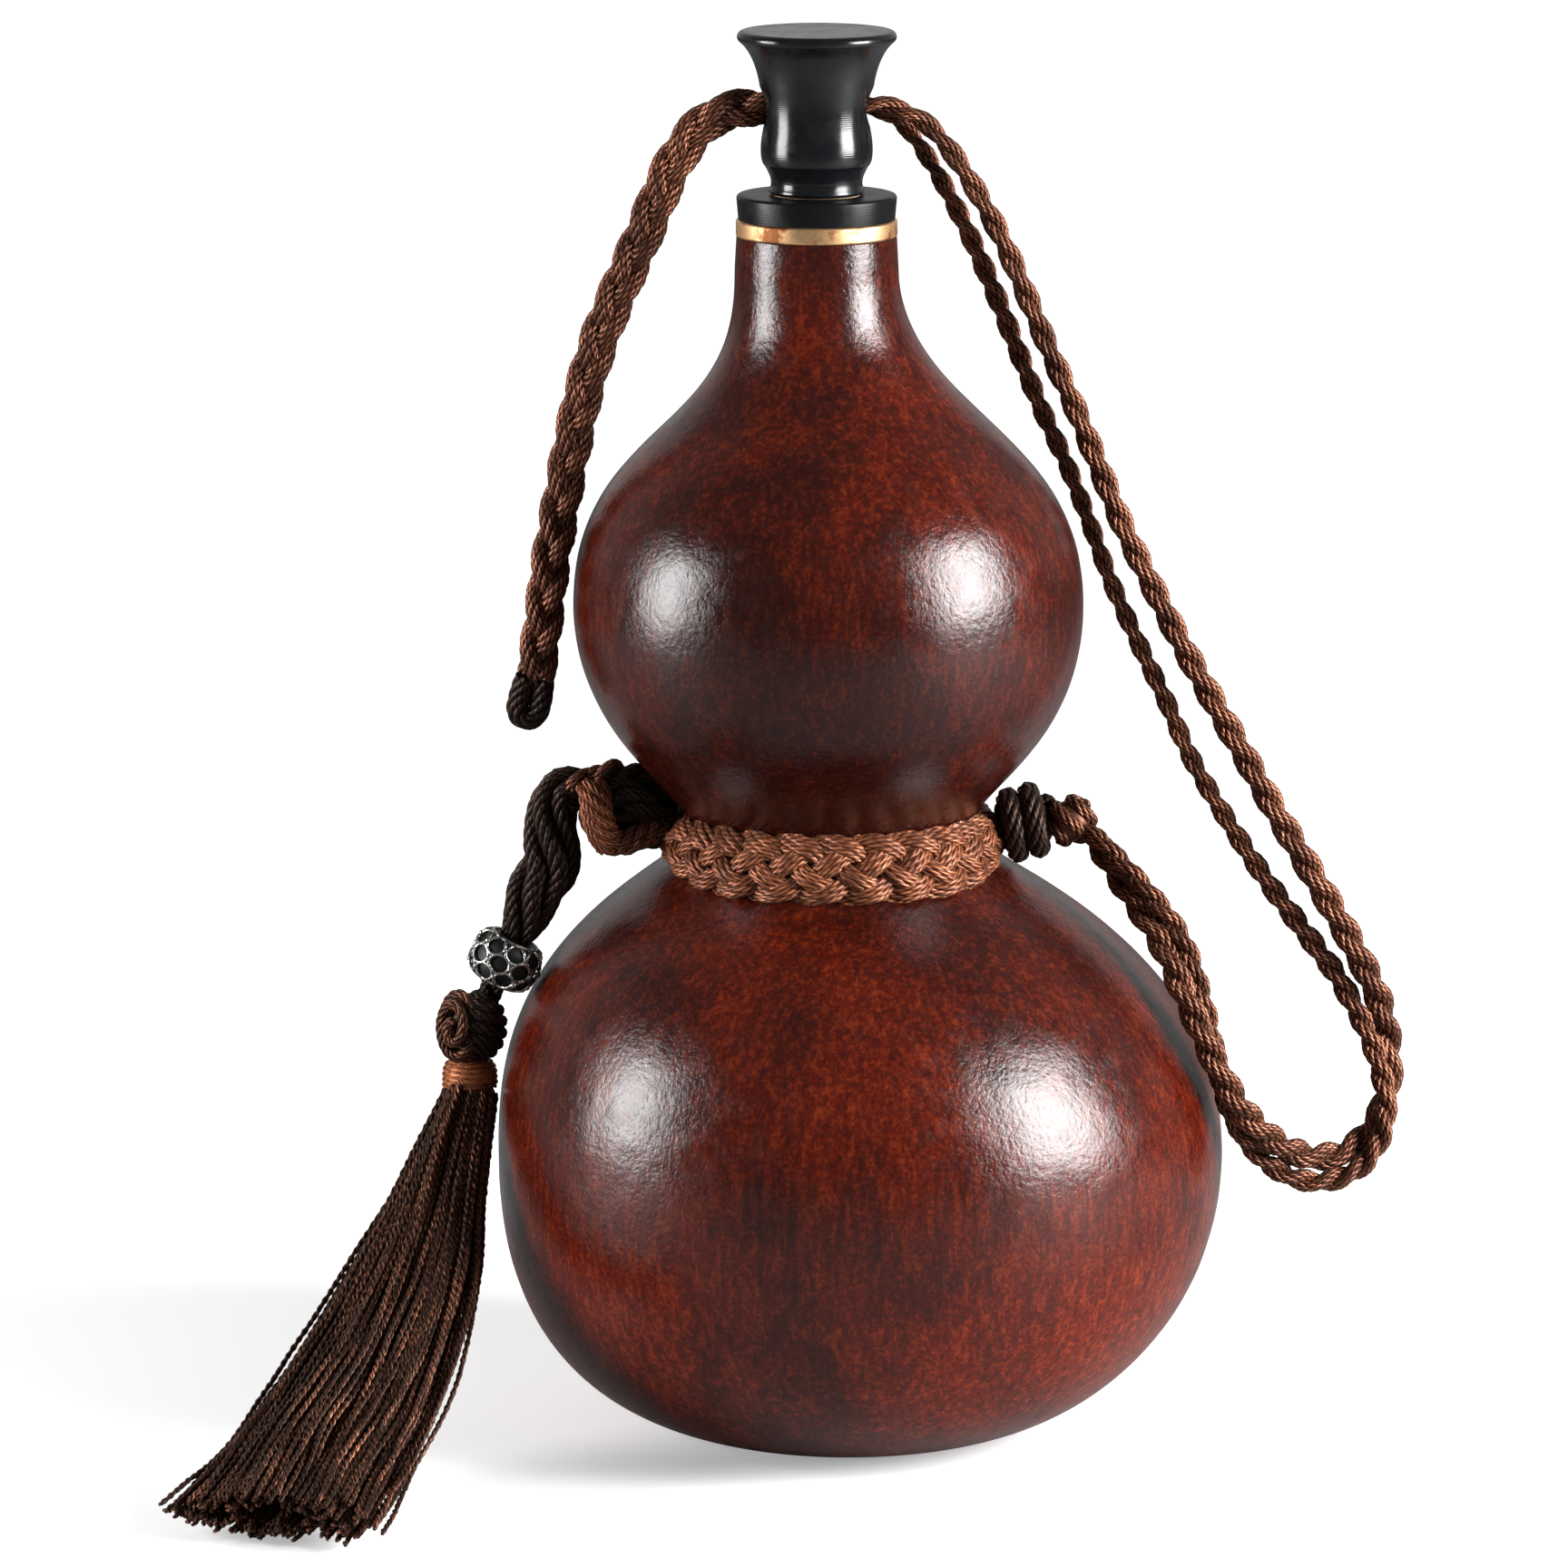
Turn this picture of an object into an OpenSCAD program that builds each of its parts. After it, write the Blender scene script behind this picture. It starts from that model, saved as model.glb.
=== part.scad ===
/* Gourd water bottle: a dried double gourd with a turned stopper, waist braid, strap and tassel.
   Millimetres, +Z up. The origin is the middle of the foot, on the surface that it stands on. */

/* [Gourd] */
// Diameter of the flat foot
foot_d = 36; // [26:1:44]
// Diameter of the lower bulb at its widest
lower_d = 122.4; // [112:0.2:132]
// Height of the lower bulb's widest ring
lower_z = 47; // [42:0.5:52]
// Diameter of the waist at its narrowest
waist_d = 47.5; // [42:0.5:52]
// Height of the waist
waist_z = 102.5; // [100:0.5:105]
// Diameter of the upper bulb at its widest
upper_d = 85.2; // [78:0.2:92]
// Height of the upper bulb's widest ring
upper_z = 141; // [136:0.5:146]
// Diameter of the neck at the top of its flare
neck_d = 27.2; // [25:0.2:31]
// Height at which the flare runs into the neck
neck_z = 197; // [190:0.5:200]
// Height of the cut top of the neck
neck_top = 202.4; // [201.4:0.1:210]
// Thickness of the dried shell
wall = 4; // [2.5:0.1:5]
// How far the waist leans left of the foot's axis
waist_lean = 5.2; // [0:0.1:8]
// How far the upper bulb leans left
upper_lean = 5.5; // [0:0.1:9]
// How far the neck and mouth lean left
mouth_lean = 7.5; // [0:0.1:12]
// How far the foot sits left of the lower bulb
foot_lean = 2.2; // [0:0.1:4]

/* [Mouth] */
// Diameter of the mouth collar's flange
collar_d = 26.6; // [25.6:0.2:31]
// Height of the flange above the brass ring
collar_h = 4.1; // [3:0.1:7]
// Diameter of the collar's spigot inside the neck
spigot_d = 19.8; // [18:0.1:20.6]
// Depth of the spigot below the top of the neck
spigot_depth = 12; // [8:0.5:16]
// Diameter of the mouth
mouth_d = 14.5; // [12:0.1:16]
// Height of the brass ring
ring_h = 2.9; // [1.8:0.1:4]
// How far the brass ring stands out past the collar
ring_proud = 0.1; // [0:0.05:0.6]

/* [Stopper] */
// Diameter of the stopper's head
head_d = 26.4; // [22:0.2:30]
// Thickness of the head's rounded rim
rim_h = 2; // [1.2:0.1:3]
// Height of the stopper above the collar
stopper_h = 27; // [25:0.5:32]
// Diameter of the stopper's waist
grip_d = 17.8; // [16:0.2:20]
// Diameter of the rounded bulge below the waist
bulge_d = 18.9; // [17:0.1:22]
// Diameter of the stopper's foot
stopper_foot_d = 15.8; // [15:0.1:17.4]
// Diameter of the stem that holds the cork
stem_d = 9; // [6:0.2:10]
// Length of the cork sleeve
cork_l = 14; // [10:0.5:15]
// Diameter of the cord hole through the stopper
cord_hole_d = 7.2; // [6:0.1:8]

/* [Waist braid and knots] */
// Height at which the braid's lower edge lies on the gourd
band_low = 95.6; // [94:0.2:97]
// Height at which the braid's upper edge lies on the gourd
band_high = 106.6; // [105:0.2:108]
// Thickness of the braid
band_t = 4.4; // [3:0.1:5.5]
// Diameter of the left knot
left_knot_d = 15; // [12:0.5:17]
// Length of the left knot
left_knot_l = 14; // [12:0.5:16]
// Diameter of the wrapping beside the right button
right_wrap_d = 13.4; // [11:0.2:15]
// Length of that wrapping
right_wrap_l = 6.4; // [5:0.2:8]
// Diameter of the right button knot
button_d = 9; // [7:0.2:11]

/* [Tassel] */
// Diameter of the bead
bead_d = 12.4; // [11:0.2:13]
// Length of the bead
bead_l = 8.2; // [7:0.2:9]
// Diameter of the hole through the bead
bead_bore_d = 6; // [5.6:0.1:7]
// Thickness of the bead's pierced wall
bead_wall = 0.9; // [0.7:0.1:1.2]
// Diameter of the bead's pierced holes
pierce_d = 1.9; // [1.2:0.1:2.1]
// Diameter of the tassel's head knot
head_knot_d = 11.4; // [9:0.2:12]
// Height of the tassel's head knot
head_knot_h = 13; // [11:0.5:15]
// Diameter of the copper-coloured binding
binding_d = 9.6; // [8:0.2:11]
// Height of the binding
binding_h = 4; // [3:0.5:6]

/* [Cords] */
// Diameter of the thick leg of the strap
thick_leg_d = 5; // [4:0.1:5.6]
// Diameter of the thin leg of the strap
thin_leg_d = 4; // [3:0.1:4.2]
// Diameter of the strap where it leaves the right button
strap_d = 6.6; // [5:0.1:7.2]
// Diameter of the strap where its legs meet
strap_joined_d = 8.8; // [8:0.1:9.6]
// Width of the strap's left tail
tail_d = 6.8; // [5:0.1:7]
// Width of the tassel's lead at its fattest
lead_d = 10.6; // [8:0.2:11]

/* [Hidden] */

// Clearances
glue_gap = 0.1;
cork_gap = 0.1;
seat_gap = 0.05;
cord_gap = 0.2;
leg_gap = 0.8;
band_gap = 0.3;
knot_gap = 0.3;

// Facets of the lofted shell and smoothness of the turned pieces
shell_sides = 40;
cavity_sides = 24;
arc_steps = 8;
$fn = 96;

// Fullness of each quarter of the gourd's outline, as shares of its height or width
foot_round = 0.55;
belly_low = 0.625;
belly_high = 0.72;
waist_below = 0.13;
waist_above = 0.19;
crown_low = 0.615;
crown_high = 0.52;
neck_flare = 0.465;
lean_start = 0.55;

// Places that follow from the sizes above
mouth_x = -mouth_lean;
ring_z = neck_top;
collar_z = neck_top + ring_h;
seat_z = collar_z + collar_h;
stopper_z = seat_z + seat_gap;
top_z = stopper_z + stopper_h;
cord_z = stopper_z + 14.4;
bore_floor = neck_top - spigot_depth - 0.5;

// A point on a cubic curve with two end points and two handles
function curve(a, b, c, d, t) =
    pow(1 - t, 3) * a + 3 * pow(1 - t, 2) * t * b + 3 * (1 - t) * t * t * c + pow(t, 3) * d;
function stretch(a, b, c, d, n) = [for (i = [0:n - 1]) curve(a, b, c, d, i / n)];
function ease(u) = u * u * (3 - 2 * u);
function blend(a, b, u) = a + (b - a) * ease(max(0, min(1, u)));
function unit(v) = v / norm(v);

// The gourd's outline as [radius, height], in steps of the given coarseness
function outline(k) =
    let (r0 = foot_d / 2, r1 = lower_d / 2, rw = waist_d / 2, r2 = upper_d / 2, rn = neck_d / 2,
         up = waist_z - lower_z, over = upper_z - waist_z, rise = neck_z - upper_z)
    concat(
        stretch([r0, 0], [r0 + foot_round * (r1 - r0), 0],
                [r1, lower_z * (1 - belly_low)], [r1, lower_z], round(11 / k)),
        stretch([r1, lower_z], [r1, lower_z + belly_high * up],
                [rw, waist_z - waist_below * up], [rw, waist_z], round(12 / k)),
        stretch([rw, waist_z], [rw, waist_z + waist_above * over],
                [r2, upper_z - crown_low * over], [r2, upper_z], round(9 / k)),
        stretch([r2, upper_z], [r2, upper_z + crown_high * rise],
                [rn, neck_z - neck_flare * rise], [rn, neck_z], round(12 / k)),
        [[rn, neck_z], [collar_d / 2, neck_top]]);

skin = outline(1);
skin_table = [for (p = skin) [p[1], p[0]]];
function skin_r(z) = lookup(z, skin_table);

// How far left the gourd's middle lies at a height: the natural lean of the fruit
function lean(z) =
    z < lower_z ? blend(-foot_lean, 0, z / lower_z)
    : z < waist_z ? let (u = (z - lower_z) / (waist_z - lower_z)) -waist_lean * (u * u + ease(u)) / 2
    : z < upper_z ? blend(-waist_lean, -upper_lean, (z - waist_z) / (upper_z - waist_z))
    : let (start = upper_z + lean_start * (neck_z - upper_z))
      blend(-upper_lean, -mouth_lean, (z - start) / (neck_z - start));

// The outline moved inwards by the wall, up to the floor of the spigot's bore
function inner(p) =
    let (n = len(p))
    [for (i = [0:n - 2])
        let (a = p[max(i - 1, 0)], b = p[min(i + 1, n - 1)], d = unit(b - a))
        i == 0 ? p[0] + [0, wall] : p[i] + wall * [-d[1], d[0]]];

function rings(outline_points, sides) =
    [for (p = outline_points)
        [for (j = [0:sides - 1]) [lean(p[1]) + p[0] * cos(360 * j / sides), p[0] * sin(360 * j / sides), p[1]]]];

// A skin over a list of rings that all have the same number of points, closed by its two ends,
// or round into its own start
module loft(rings, round_again = false) {
    sides = len(rings[0]);
    n = len(rings);
    bands = round_again ? n : n - 1;
    ends = round_again ? [] : [[for (j = [0:sides - 1]) j], [for (j = [sides - 1:-1:0]) (n - 1) * sides + j]];
    polyhedron(
        points = [for (r = rings) each r],
        faces = concat(ends,
            [for (i = [0:bands - 1]) for (j = [0:sides - 1])
                let (a = i * sides + j, b = i * sides + (j + 1) % sides,
                     c = ((i + 1) % n) * sides + j, d = ((i + 1) % n) * sides + (j + 1) % sides)
                each [[a, c, b], [b, c, d]]]));
}

// A tube along hand-chosen points, with a radius for each point
function side_of(d) = unit(cross(d, abs(d[1]) < 0.9 ? [0, 1, 0] : [0, 0, 1]));
function heading(path, i) = unit(path[min(i + 1, len(path) - 1)] - path[max(i - 1, 0)]);
function tube_rings(path, radii, sides) =
    [for (i = [0:len(path) - 1])
        let (d = heading(path, i), u = side_of(d), v = cross(d, u))
        [for (j = [0:sides - 1])
            path[i] + radii[i] * (u * cos(360 * j / sides) - v * sin(360 * j / sides))]];
module tube(path, radii, sides = 8) { loft(tube_rings(path, radii, sides)); }
function even(path, r) = [for (p = path) r];

// Turns a piece that is made along +Z so that it runs from a point in a direction
module aim(from, direction) {
    d = unit(direction);
    translate(from) rotate([0, acos(d[2]), atan2(d[1], d[0])]) children();
}

function arc(centre, r, from, to, steps = 8) =
    [for (i = [0:steps]) let (a = from + (to - from) * i / steps) centre + r * [cos(a), sin(a)]];

module gourd_shell() {
    cavity = [for (p = inner(outline(1.8))) if (p[1] < bore_floor) p];
    color([0.36, 0.1, 0.04])
    difference() {
        loft(rings(skin, shell_sides));
        loft(rings(concat(cavity, [[neck_d / 2 - wall, bore_floor + 1]]), cavity_sides));
        translate([mouth_x, 0, bore_floor]) cylinder(d = spigot_d + 2 * glue_gap, h = spigot_depth + 1.5);
    }
}

module brass_ring() {
    edge = 0.5;
    r_in = spigot_d / 2 + glue_gap;
    r_out = collar_d / 2 + ring_proud;
    color([0.72, 0.5, 0.25])
    translate([mouth_x, 0, ring_z])
    rotate_extrude()
    polygon(concat(
        [[r_in, 0]],
        arc([r_out - edge, edge], edge, -90, 0),
        arc([r_out - edge, ring_h - edge], edge, 0, 90),
        [[r_in, ring_h]]));
}

module mouth_collar() {
    edge = 0.6;
    lead_in = 0.8;
    r_out = collar_d / 2;
    color([0.06, 0.06, 0.07])
    translate([mouth_x, 0, collar_z])
    rotate_extrude()
    polygon(concat(
        [[mouth_d / 2, -ring_h - spigot_depth],
         [spigot_d / 2 - lead_in, -ring_h - spigot_depth],
         [spigot_d / 2, -ring_h - spigot_depth + lead_in],
         [spigot_d / 2, 0],
         [r_out - edge / 2, 0]],
        arc([r_out - edge, collar_h - edge], edge, 0, 90),
        arc([mouth_d / 2 + edge, collar_h - edge], edge, 90, 180)));
}

// The turned outline: foot lip, cove, bulge, waist, flare and rounded head
module stopper_outline() {
    r_foot = stopper_foot_d / 2;
    r_bulge = bulge_d / 2;
    r_grip = grip_d / 2;
    r_head = head_d / 2;
    lip = 0.6;
    bulge_z = 6.8;
    grip_z = 11;
    flare_z = 17.5;
    stem_end_l = 1;
    rim_z = stopper_h - rim_h;
    polygon(concat(
        [[0, -cork_l - stem_end_l - 0.1],
         [stem_d / 2 + 1.2, -cork_l - stem_end_l - 0.1],
         [stem_d / 2 + 1.2, -cork_l - 0.1],
         [stem_d / 2, -cork_l - 0.1],
         [stem_d / 2, 0]],
        arc([r_foot - lip, lip], lip, -90, 0),
        stretch([r_foot, lip], [r_foot - 0.7, lip + 1.4], [r_foot - 0.2, 3], [r_bulge - 0.9, 4.6], arc_steps),
        stretch([r_bulge - 0.9, 4.6], [r_bulge, 5.2], [r_bulge, bulge_z + 1.2], [r_grip, grip_z - 0.4], arc_steps),
        stretch([r_grip, grip_z - 0.4], [r_grip - 0.1, grip_z + 2], [r_grip, flare_z - 2],
                [r_grip + 0.5, flare_z], arc_steps),
        stretch([r_grip + 0.5, flare_z], [r_grip + 0.9, flare_z + 3.2], [r_grip + 2, rim_z - 1.6],
                [r_head - rim_h * 0.35, rim_z], arc_steps),
        arc([r_head - rim_h / 2, rim_z + rim_h / 2], rim_h / 2, -40, 90),
        [[0, stopper_h]]));
}

module stopper() {
    color([0.07, 0.08, 0.09])
    translate([mouth_x, 0, stopper_z])
    difference() {
        rotate_extrude() stopper_outline();
        translate([0, 0, cord_z - stopper_z]) rotate([0, 90, 0])
            cylinder(d = cord_hole_d, h = head_d, center = true);
    }
}

module cork_sleeve() {
    r_out = mouth_d / 2 - cork_gap;
    taper = 0.5;
    color([0.76, 0.58, 0.38])
    translate([mouth_x, 0, stopper_z - cork_l])
    rotate_extrude()
    polygon([[stem_d / 2 + seat_gap, 0], [r_out - taper, 0], [r_out, cork_l * 0.3],
             [r_out, cork_l - seat_gap], [stem_d / 2 + seat_gap, cork_l - seat_gap]]);
}

cord_colour = [0.27, 0.13, 0.08];
hole_end = grip_d / 2 - 0.1;

module strap_pass() {
    color(cord_colour)
    translate([mouth_x, 0, cord_z]) rotate([0, 90, 0])
        cylinder(d = cord_hole_d - 2 * cord_gap, h = 2 * hole_end, center = true);
}

// Routes of the free cords, in round numbers. The first point sits at the stopper's cord hole.
tail_route = [
    [mouth_x - hole_end - 2 * cord_gap, 0, cord_z], [-21, 0, cord_z - 0.6], [-25.5, 0, 221.5], [-29.5, 0, 217],
    [-32.5, 0, 211.5], [-36, 0, 203], [-39.5, 0, 195], [-43, 0, 186.5], [-46, 0, 177], [-48.2, 0, 167],
    [-50, -2, 157.5], [-51.8, -4, 147.5], [-53, -4, 138], [-54.3, -3, 129]];
thick_route = [
    [mouth_x + hole_end + leg_gap, -1.7, cord_z + 0.6], [5.5, -1.7, 223.8], [9.5, -1.5, 222], [13.4, -1.5, 218.2],
    [17.7, -1.5, 212], [23, -1.5, 202.4], [27.2, -1.5, 192.8], [31.2, -1.5, 183.2], [35.6, -1.5, 173.4],
    [39.6, -1.5, 163.6], [43.6, -1.5, 153.8], [48.4, -1.5, 144], [53.4, -1.5, 134.2], [58.8, -1.5, 124.4],
    [64.4, -1.5, 114.6], [70, -1.5, 104.6], [75.8, -1.5, 94.8], [81, -1.5, 85.8], [84.4, -1, 79.3]];
thin_route = [
    [mouth_x + hole_end + leg_gap, 1.9, cord_z - 0.6], [5.2, 2, 221.8], [8.4, 2, 218.8], [12.8, 2, 212],
    [17.8, 2, 202.4], [22.1, 2, 192.6], [26, 2, 182.8], [30, 2, 173], [34.4, 2, 163.4], [38.2, 2, 153.6],
    [41.8, 2, 143.8], [46.2, 1.5, 134], [51, 1.5, 124], [55.4, 1.5, 114], [61.2, 1.5, 104], [67.4, 1.5, 94.4],
    [74, 1.2, 85.4], [79.8, 1, 77.6]];
strap_way = [0.83, -0.27, -0.49];
function strap_start() = button_at + (button_d / 2 + leg_gap) * unit(strap_way);
strap_fall = [[41.2, -5.2, 99], [45.5, -10, 94.2], [49.6, -13, 89.2], [52.6, -15.5, 84.2],
    [54.6, -17, 79], [56.8, -18, 73], [59.2, -18, 66], [62, -16.5, 59], [66, -13.5, 52.6],
    [71, -10.5, 47.8], [76.6, -8, 45.6], [82.4, -6, 46.6], [86.6, -4, 50.6], [88.4, -2.5, 56],
    [88.2, -1, 62.4], [86.6, 0, 69], [84.2, 0, 74.6], [82.5, 0, 77.6]];

module strap_tail() {
    start_r = cord_hole_d / 2 - 0.6;
    color(cord_colour)
    tube(tail_route, [for (i = [0:len(tail_route) - 1]) i == 0 ? start_r : tail_d / 2]);
}

// The doubled cord's folded end, sewn fast into a rounded knob
tail_end_top = [-54.4, -3, 128.6];
tail_end_foot = [-56.4, -2, 120.2];
module tail_end() {
    way = tail_end_foot - tail_end_top;
    length = norm(way);
    r = tail_d / 2 + 0.3;
    color(cord_colour)
    aim(tail_end_top, way)
    rotate_extrude()
    polygon(concat([[0, 0], [r - 0.5, 0]],
        stretch([r - 0.5, 0], [r, length * 0.3], [r + 0.6, length * 0.5], [r + 0.2, length * 0.72], arc_steps),
        arc([r - 1.8, length - 2], 2, 20, 90), [[0, length]]));
}

// Cords are squeezed where they leave the stopper's hole and swell to full size over two points
function squeezed(path, r_start, r) = [for (i = [0:len(path) - 1]) i == 0 ? r_start : i == 1 ? (r_start + r) / 2 : r];

module strap_leg_thick() {
    color(cord_colour)
    tube(thick_route, squeezed(thick_route, 1.6, thick_leg_d / 2));
}

module strap_leg_thin() {
    color(cord_colour)
    tube(thin_route, squeezed(thin_route, 1.4, thin_leg_d / 2));
}

module strap_lower() {
    strap_route = concat([strap_start()], strap_fall);
    n = len(strap_route) - 1;
    color(cord_colour)
    tube(strap_route, [for (i = [0:n]) i == 0 ? strap_d * 0.34
                       : blend(strap_d, strap_joined_d, (i - n * 0.45) / (n * 0.35)) / 2], 10);
}

// The braid is a flat band that bridges the waist. Its knots gather it at each side.
band_sides = 44;
band_steps = 4;
gather_low = 2.6;
gather_high = 0.4;
band_bulge = 1.5;
function gathered(a) = pow(cos(a), 6);
function band_edge(v, a) =
    (1 - v) * (band_low + gather_low * gathered(a)) + v * (band_high - gather_high * gathered(a));
function chord_r(v, a) = (1 - v) * skin_r(band_edge(0, a)) + v * skin_r(band_edge(1, a)) + band_gap;
function band_out(v, a) = chord_r(v, a) + 0.9 + band_bulge * sin(180 * v);
function band_in(v, a) = max(skin_r(band_edge(v, a)) + band_gap, band_out(v, a) - band_t);
band_x = lean((band_low + band_high) / 2);
function band_point(r, v, a) =
    let (z = band_edge(v, a)) [lean(z) + r * cos(a), r * sin(a), z];

module waist_band() {
    color([0.42, 0.2, 0.1])
    loft([for (i = [0:band_sides - 1])
        let (a = 360 * i / band_sides)
        concat(
            [for (k = [0:band_steps]) band_point(band_in(k / band_steps, a), k / band_steps, a)],
            [for (k = [band_steps:-1:0]) band_point(band_out(k / band_steps, a), k / band_steps, a)])],
        round_again = true);
}

// A wrapped knot: a barrel along +Z with flat ends and a rounded belly
module barrel(d, length, end_share = 0.72) {
    r = d / 2;
    rotate_extrude()
    polygon(concat([[0, 0]],
        stretch([r * end_share, 0], [r * 1.1, length * 0.22], [r * 1.1, length * 0.78],
                [r * end_share, length], 2 * arc_steps),
        [[r * end_share, length], [0, length]]));
}

band_side_r = band_out(0.5, 0);
left_knot_way = [-0.86, -0.1, 0.46];
knot_start = [band_x - band_side_r - knot_gap, -2.6, 102.4];
lead_start = knot_start + left_knot_l * unit(left_knot_way);
module left_knot() {
    color(cord_colour)
    aim(knot_start, left_knot_way) barrel(left_knot_d, left_knot_l, 0.58);
}

// The wrapping is tied to the braid's side, and the button sits on its outer end
wrap_way = [1, 0, 0.05];
wrap_start = [band_x + band_side_r + knot_gap, -1, 103.4];
module right_wrap() {
    color([0.16, 0.08, 0.05])
    aim(wrap_start, wrap_way) barrel(right_wrap_d, right_wrap_l, 0.8);
}

button_at = wrap_start + (right_wrap_l + knot_gap / 2 + button_d / 2) * unit(wrap_way);
module right_button() {
    color(cord_colour)
    translate(button_at) sphere(d = button_d);
}

// Tassel: the lead runs down through the bead into the head knot
flank_x = -lower_d / 2;
bead_at = [flank_x + 1.6, -4, 80.8];
bead_way = [0.44, 0, 0.9];
head_at = [flank_x - 4.5, -4.6, 69.6];
head_top = head_at + [0, 0, head_knot_h / 2];
binding_top = head_at - [0, 0, head_knot_h / 2];
lead_route = [
    lead_start + 0.5 * unit(left_knot_way), lead_start + [-3, -0.3, 1.3], lead_start + [-5, 0, -2],
    lead_start + [-5.2, 0, -7.4], lead_start + [-5.6, 0, -12.6], [flank_x + 6.4, -4, 92],
    bead_at + 6.2 * unit(bead_way), bead_at + 4 * unit(bead_way), bead_at - 4 * unit(bead_way),
    bead_at - 4.9 * unit(bead_way)];
lead_shape = [0.4, 0.42, 0.42, 0.6, 0.96, 0.94, 0.62, 0.5, 0.5, 0.42];

module tassel_lead() {
    color([0.2, 0.1, 0.06])
    tube(lead_route,
         [for (i = [0:len(lead_route) - 1]) min(lead_shape[i] * lead_d / 2, i > 6 ? bead_bore_d / 2 - 0.3 : lead_d)],
         10);
}

// The bead: a pierced barrel with a plain rim at each end and grains between its holes
module filigree_bead() {
    columns = 10;
    wall_steps = 4;
    rim_r = 0.55;
    grain_d = 1.1;
    belly = bead_d / 2 - rim_r;
    end_r = bead_bore_d / 2 + bead_wall;
    half = bead_l / 2 - rim_r;
    // outline of the wall: an arc from rim to belly to rim
    sag = belly - end_r;
    bow_r = (half * half + sag * sag) / (2 * sag);
    bow = asin(half / bow_r);
    centre = [belly - bow_r, 0];
    row_z = bead_l * 0.21;
    grain_at = centre[0] + sqrt(bow_r * bow_r - row_z * row_z) + 0.15;
    color([0.62, 0.62, 0.6])
    aim(bead_at, bead_way)
    difference() {
        union() {
            rotate_extrude()
            polygon(concat(arc(centre, bow_r, -bow, bow, wall_steps),
                           arc(centre, bow_r - bead_wall, bow, -bow, wall_steps)));
            for (s = [-1, 1]) translate([0, 0, s * half]) rotate_extrude()
                translate([end_r, 0]) circle(r = rim_r, $fn = 32);
            for (i = [0:columns - 1]) rotate([0, 0, 360 * (i + 0.5) / columns])
                translate([grain_at, 0, row_z]) sphere(d = grain_d, $fn = 24);
            for (i = [0:columns - 1]) rotate([0, 0, 360 * i / columns])
                translate([grain_at, 0, -row_z]) sphere(d = grain_d, $fn = 24);
        }
        for (i = [0:columns - 1]) {
            rotate([0, 0, 360 * i / columns]) translate([0, 0, row_z]) rotate([0, 90, 0])
                cylinder(d = pierce_d, h = bead_d, $fn = 24);
            rotate([0, 0, 360 * (i + 0.5) / columns]) translate([0, 0, -row_z]) rotate([0, 90, 0])
                cylinder(d = pierce_d, h = bead_d, $fn = 24);
        }
        cylinder(d = bead_bore_d, h = 2 * bead_l, center = true);
    }
}

module tassel_head() {
    color([0.3, 0.14, 0.08])
    translate(binding_top)
    barrel(head_knot_d * 0.97, head_knot_h, 0.62);
}

module tassel_binding() {
    r = binding_d / 2;
    edge = 0.8;
    color([0.62, 0.3, 0.14])
    translate(binding_top - [0, 0, binding_h + seat_gap])
    rotate_extrude()
    polygon(concat([[0, 0]], arc([r - edge, edge], edge, -90, 0),
                   arc([r - edge, binding_h - edge], edge, 0, 90), [[0, binding_h]]));
}

// The skirt falls beside the lower bulb and its ends spread on the surface, front left
skirt_top = binding_top - [0, 0, binding_h + 2 * seat_gap];
skirt_fall = [[-5.2, -6, 55.5], [-7, -9.5, 50], [-9.4, -15, 43.5], [-12, -22, 36.5], [-15.2, -31, 28.8],
    [-19.2, -42, 21.2], [-24.2, -54, 14.4], [-29.4, -66, 9], [-34.8, -78, 5.2]];
skirt_route = concat([skirt_top], [for (p = skirt_fall) [flank_x + p[0], p[1], p[2]]]);
// Half the width and half the thickness of the skirt at each point
skirt_half = [[4, 4], [4.4, 4.4], [6, 5.2], [8, 6.2], [10, 6.4], [12, 6.6], [14, 6.6], [16, 6.4], [18, 5.6], [19.5, 4]];
skirt_sides = 20;
function skirt_ring(i) =
    let (d = heading(skirt_route, i),
         out = unit([-1, 0.32, 0]),
         across = unit(out - d * (out * d)),
         up = cross(d, across))
    [for (j = [0:skirt_sides - 1])
        let (p = skirt_route[i] + skirt_half[i][0] * cos(360 * j / skirt_sides) * across
                 + skirt_half[i][1] * sin(360 * j / skirt_sides) * up)
        [p[0], p[1], max(p[2], 0.6)]];

module tassel_skirt() {
    color([0.2, 0.1, 0.06])
    loft([for (i = [0:len(skirt_route) - 1]) i == 0
        ? [for (p = skirt_ring(0)) [p[0], p[1], skirt_top[2]]] : skirt_ring(i)]);
}

gourd_shell();
brass_ring();
mouth_collar();
stopper();
cork_sleeve();
strap_pass();
strap_tail();
tail_end();
strap_leg_thick();
strap_leg_thin();
strap_lower();
right_button();
right_wrap();
waist_band();
left_knot();
tassel_lead();
filigree_bead();
tassel_head();
tassel_binding();
tassel_skirt();
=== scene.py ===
# %% [markdown]
# # A double gourd water bottle with a plaited carrying strap
#
# The real object is a dried, polished calabash with two bulbs. It has a turned black mouth collar and
# stopper, a flat plait round its waist, a twisted strap on the right and a beaded tassel on the left.
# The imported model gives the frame: everything below is in metres, in the same place as that model.

# %% Load the frame and the libraries
import math
from functools import reduce

import bpy
import numpy as np
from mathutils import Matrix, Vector, noise


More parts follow.
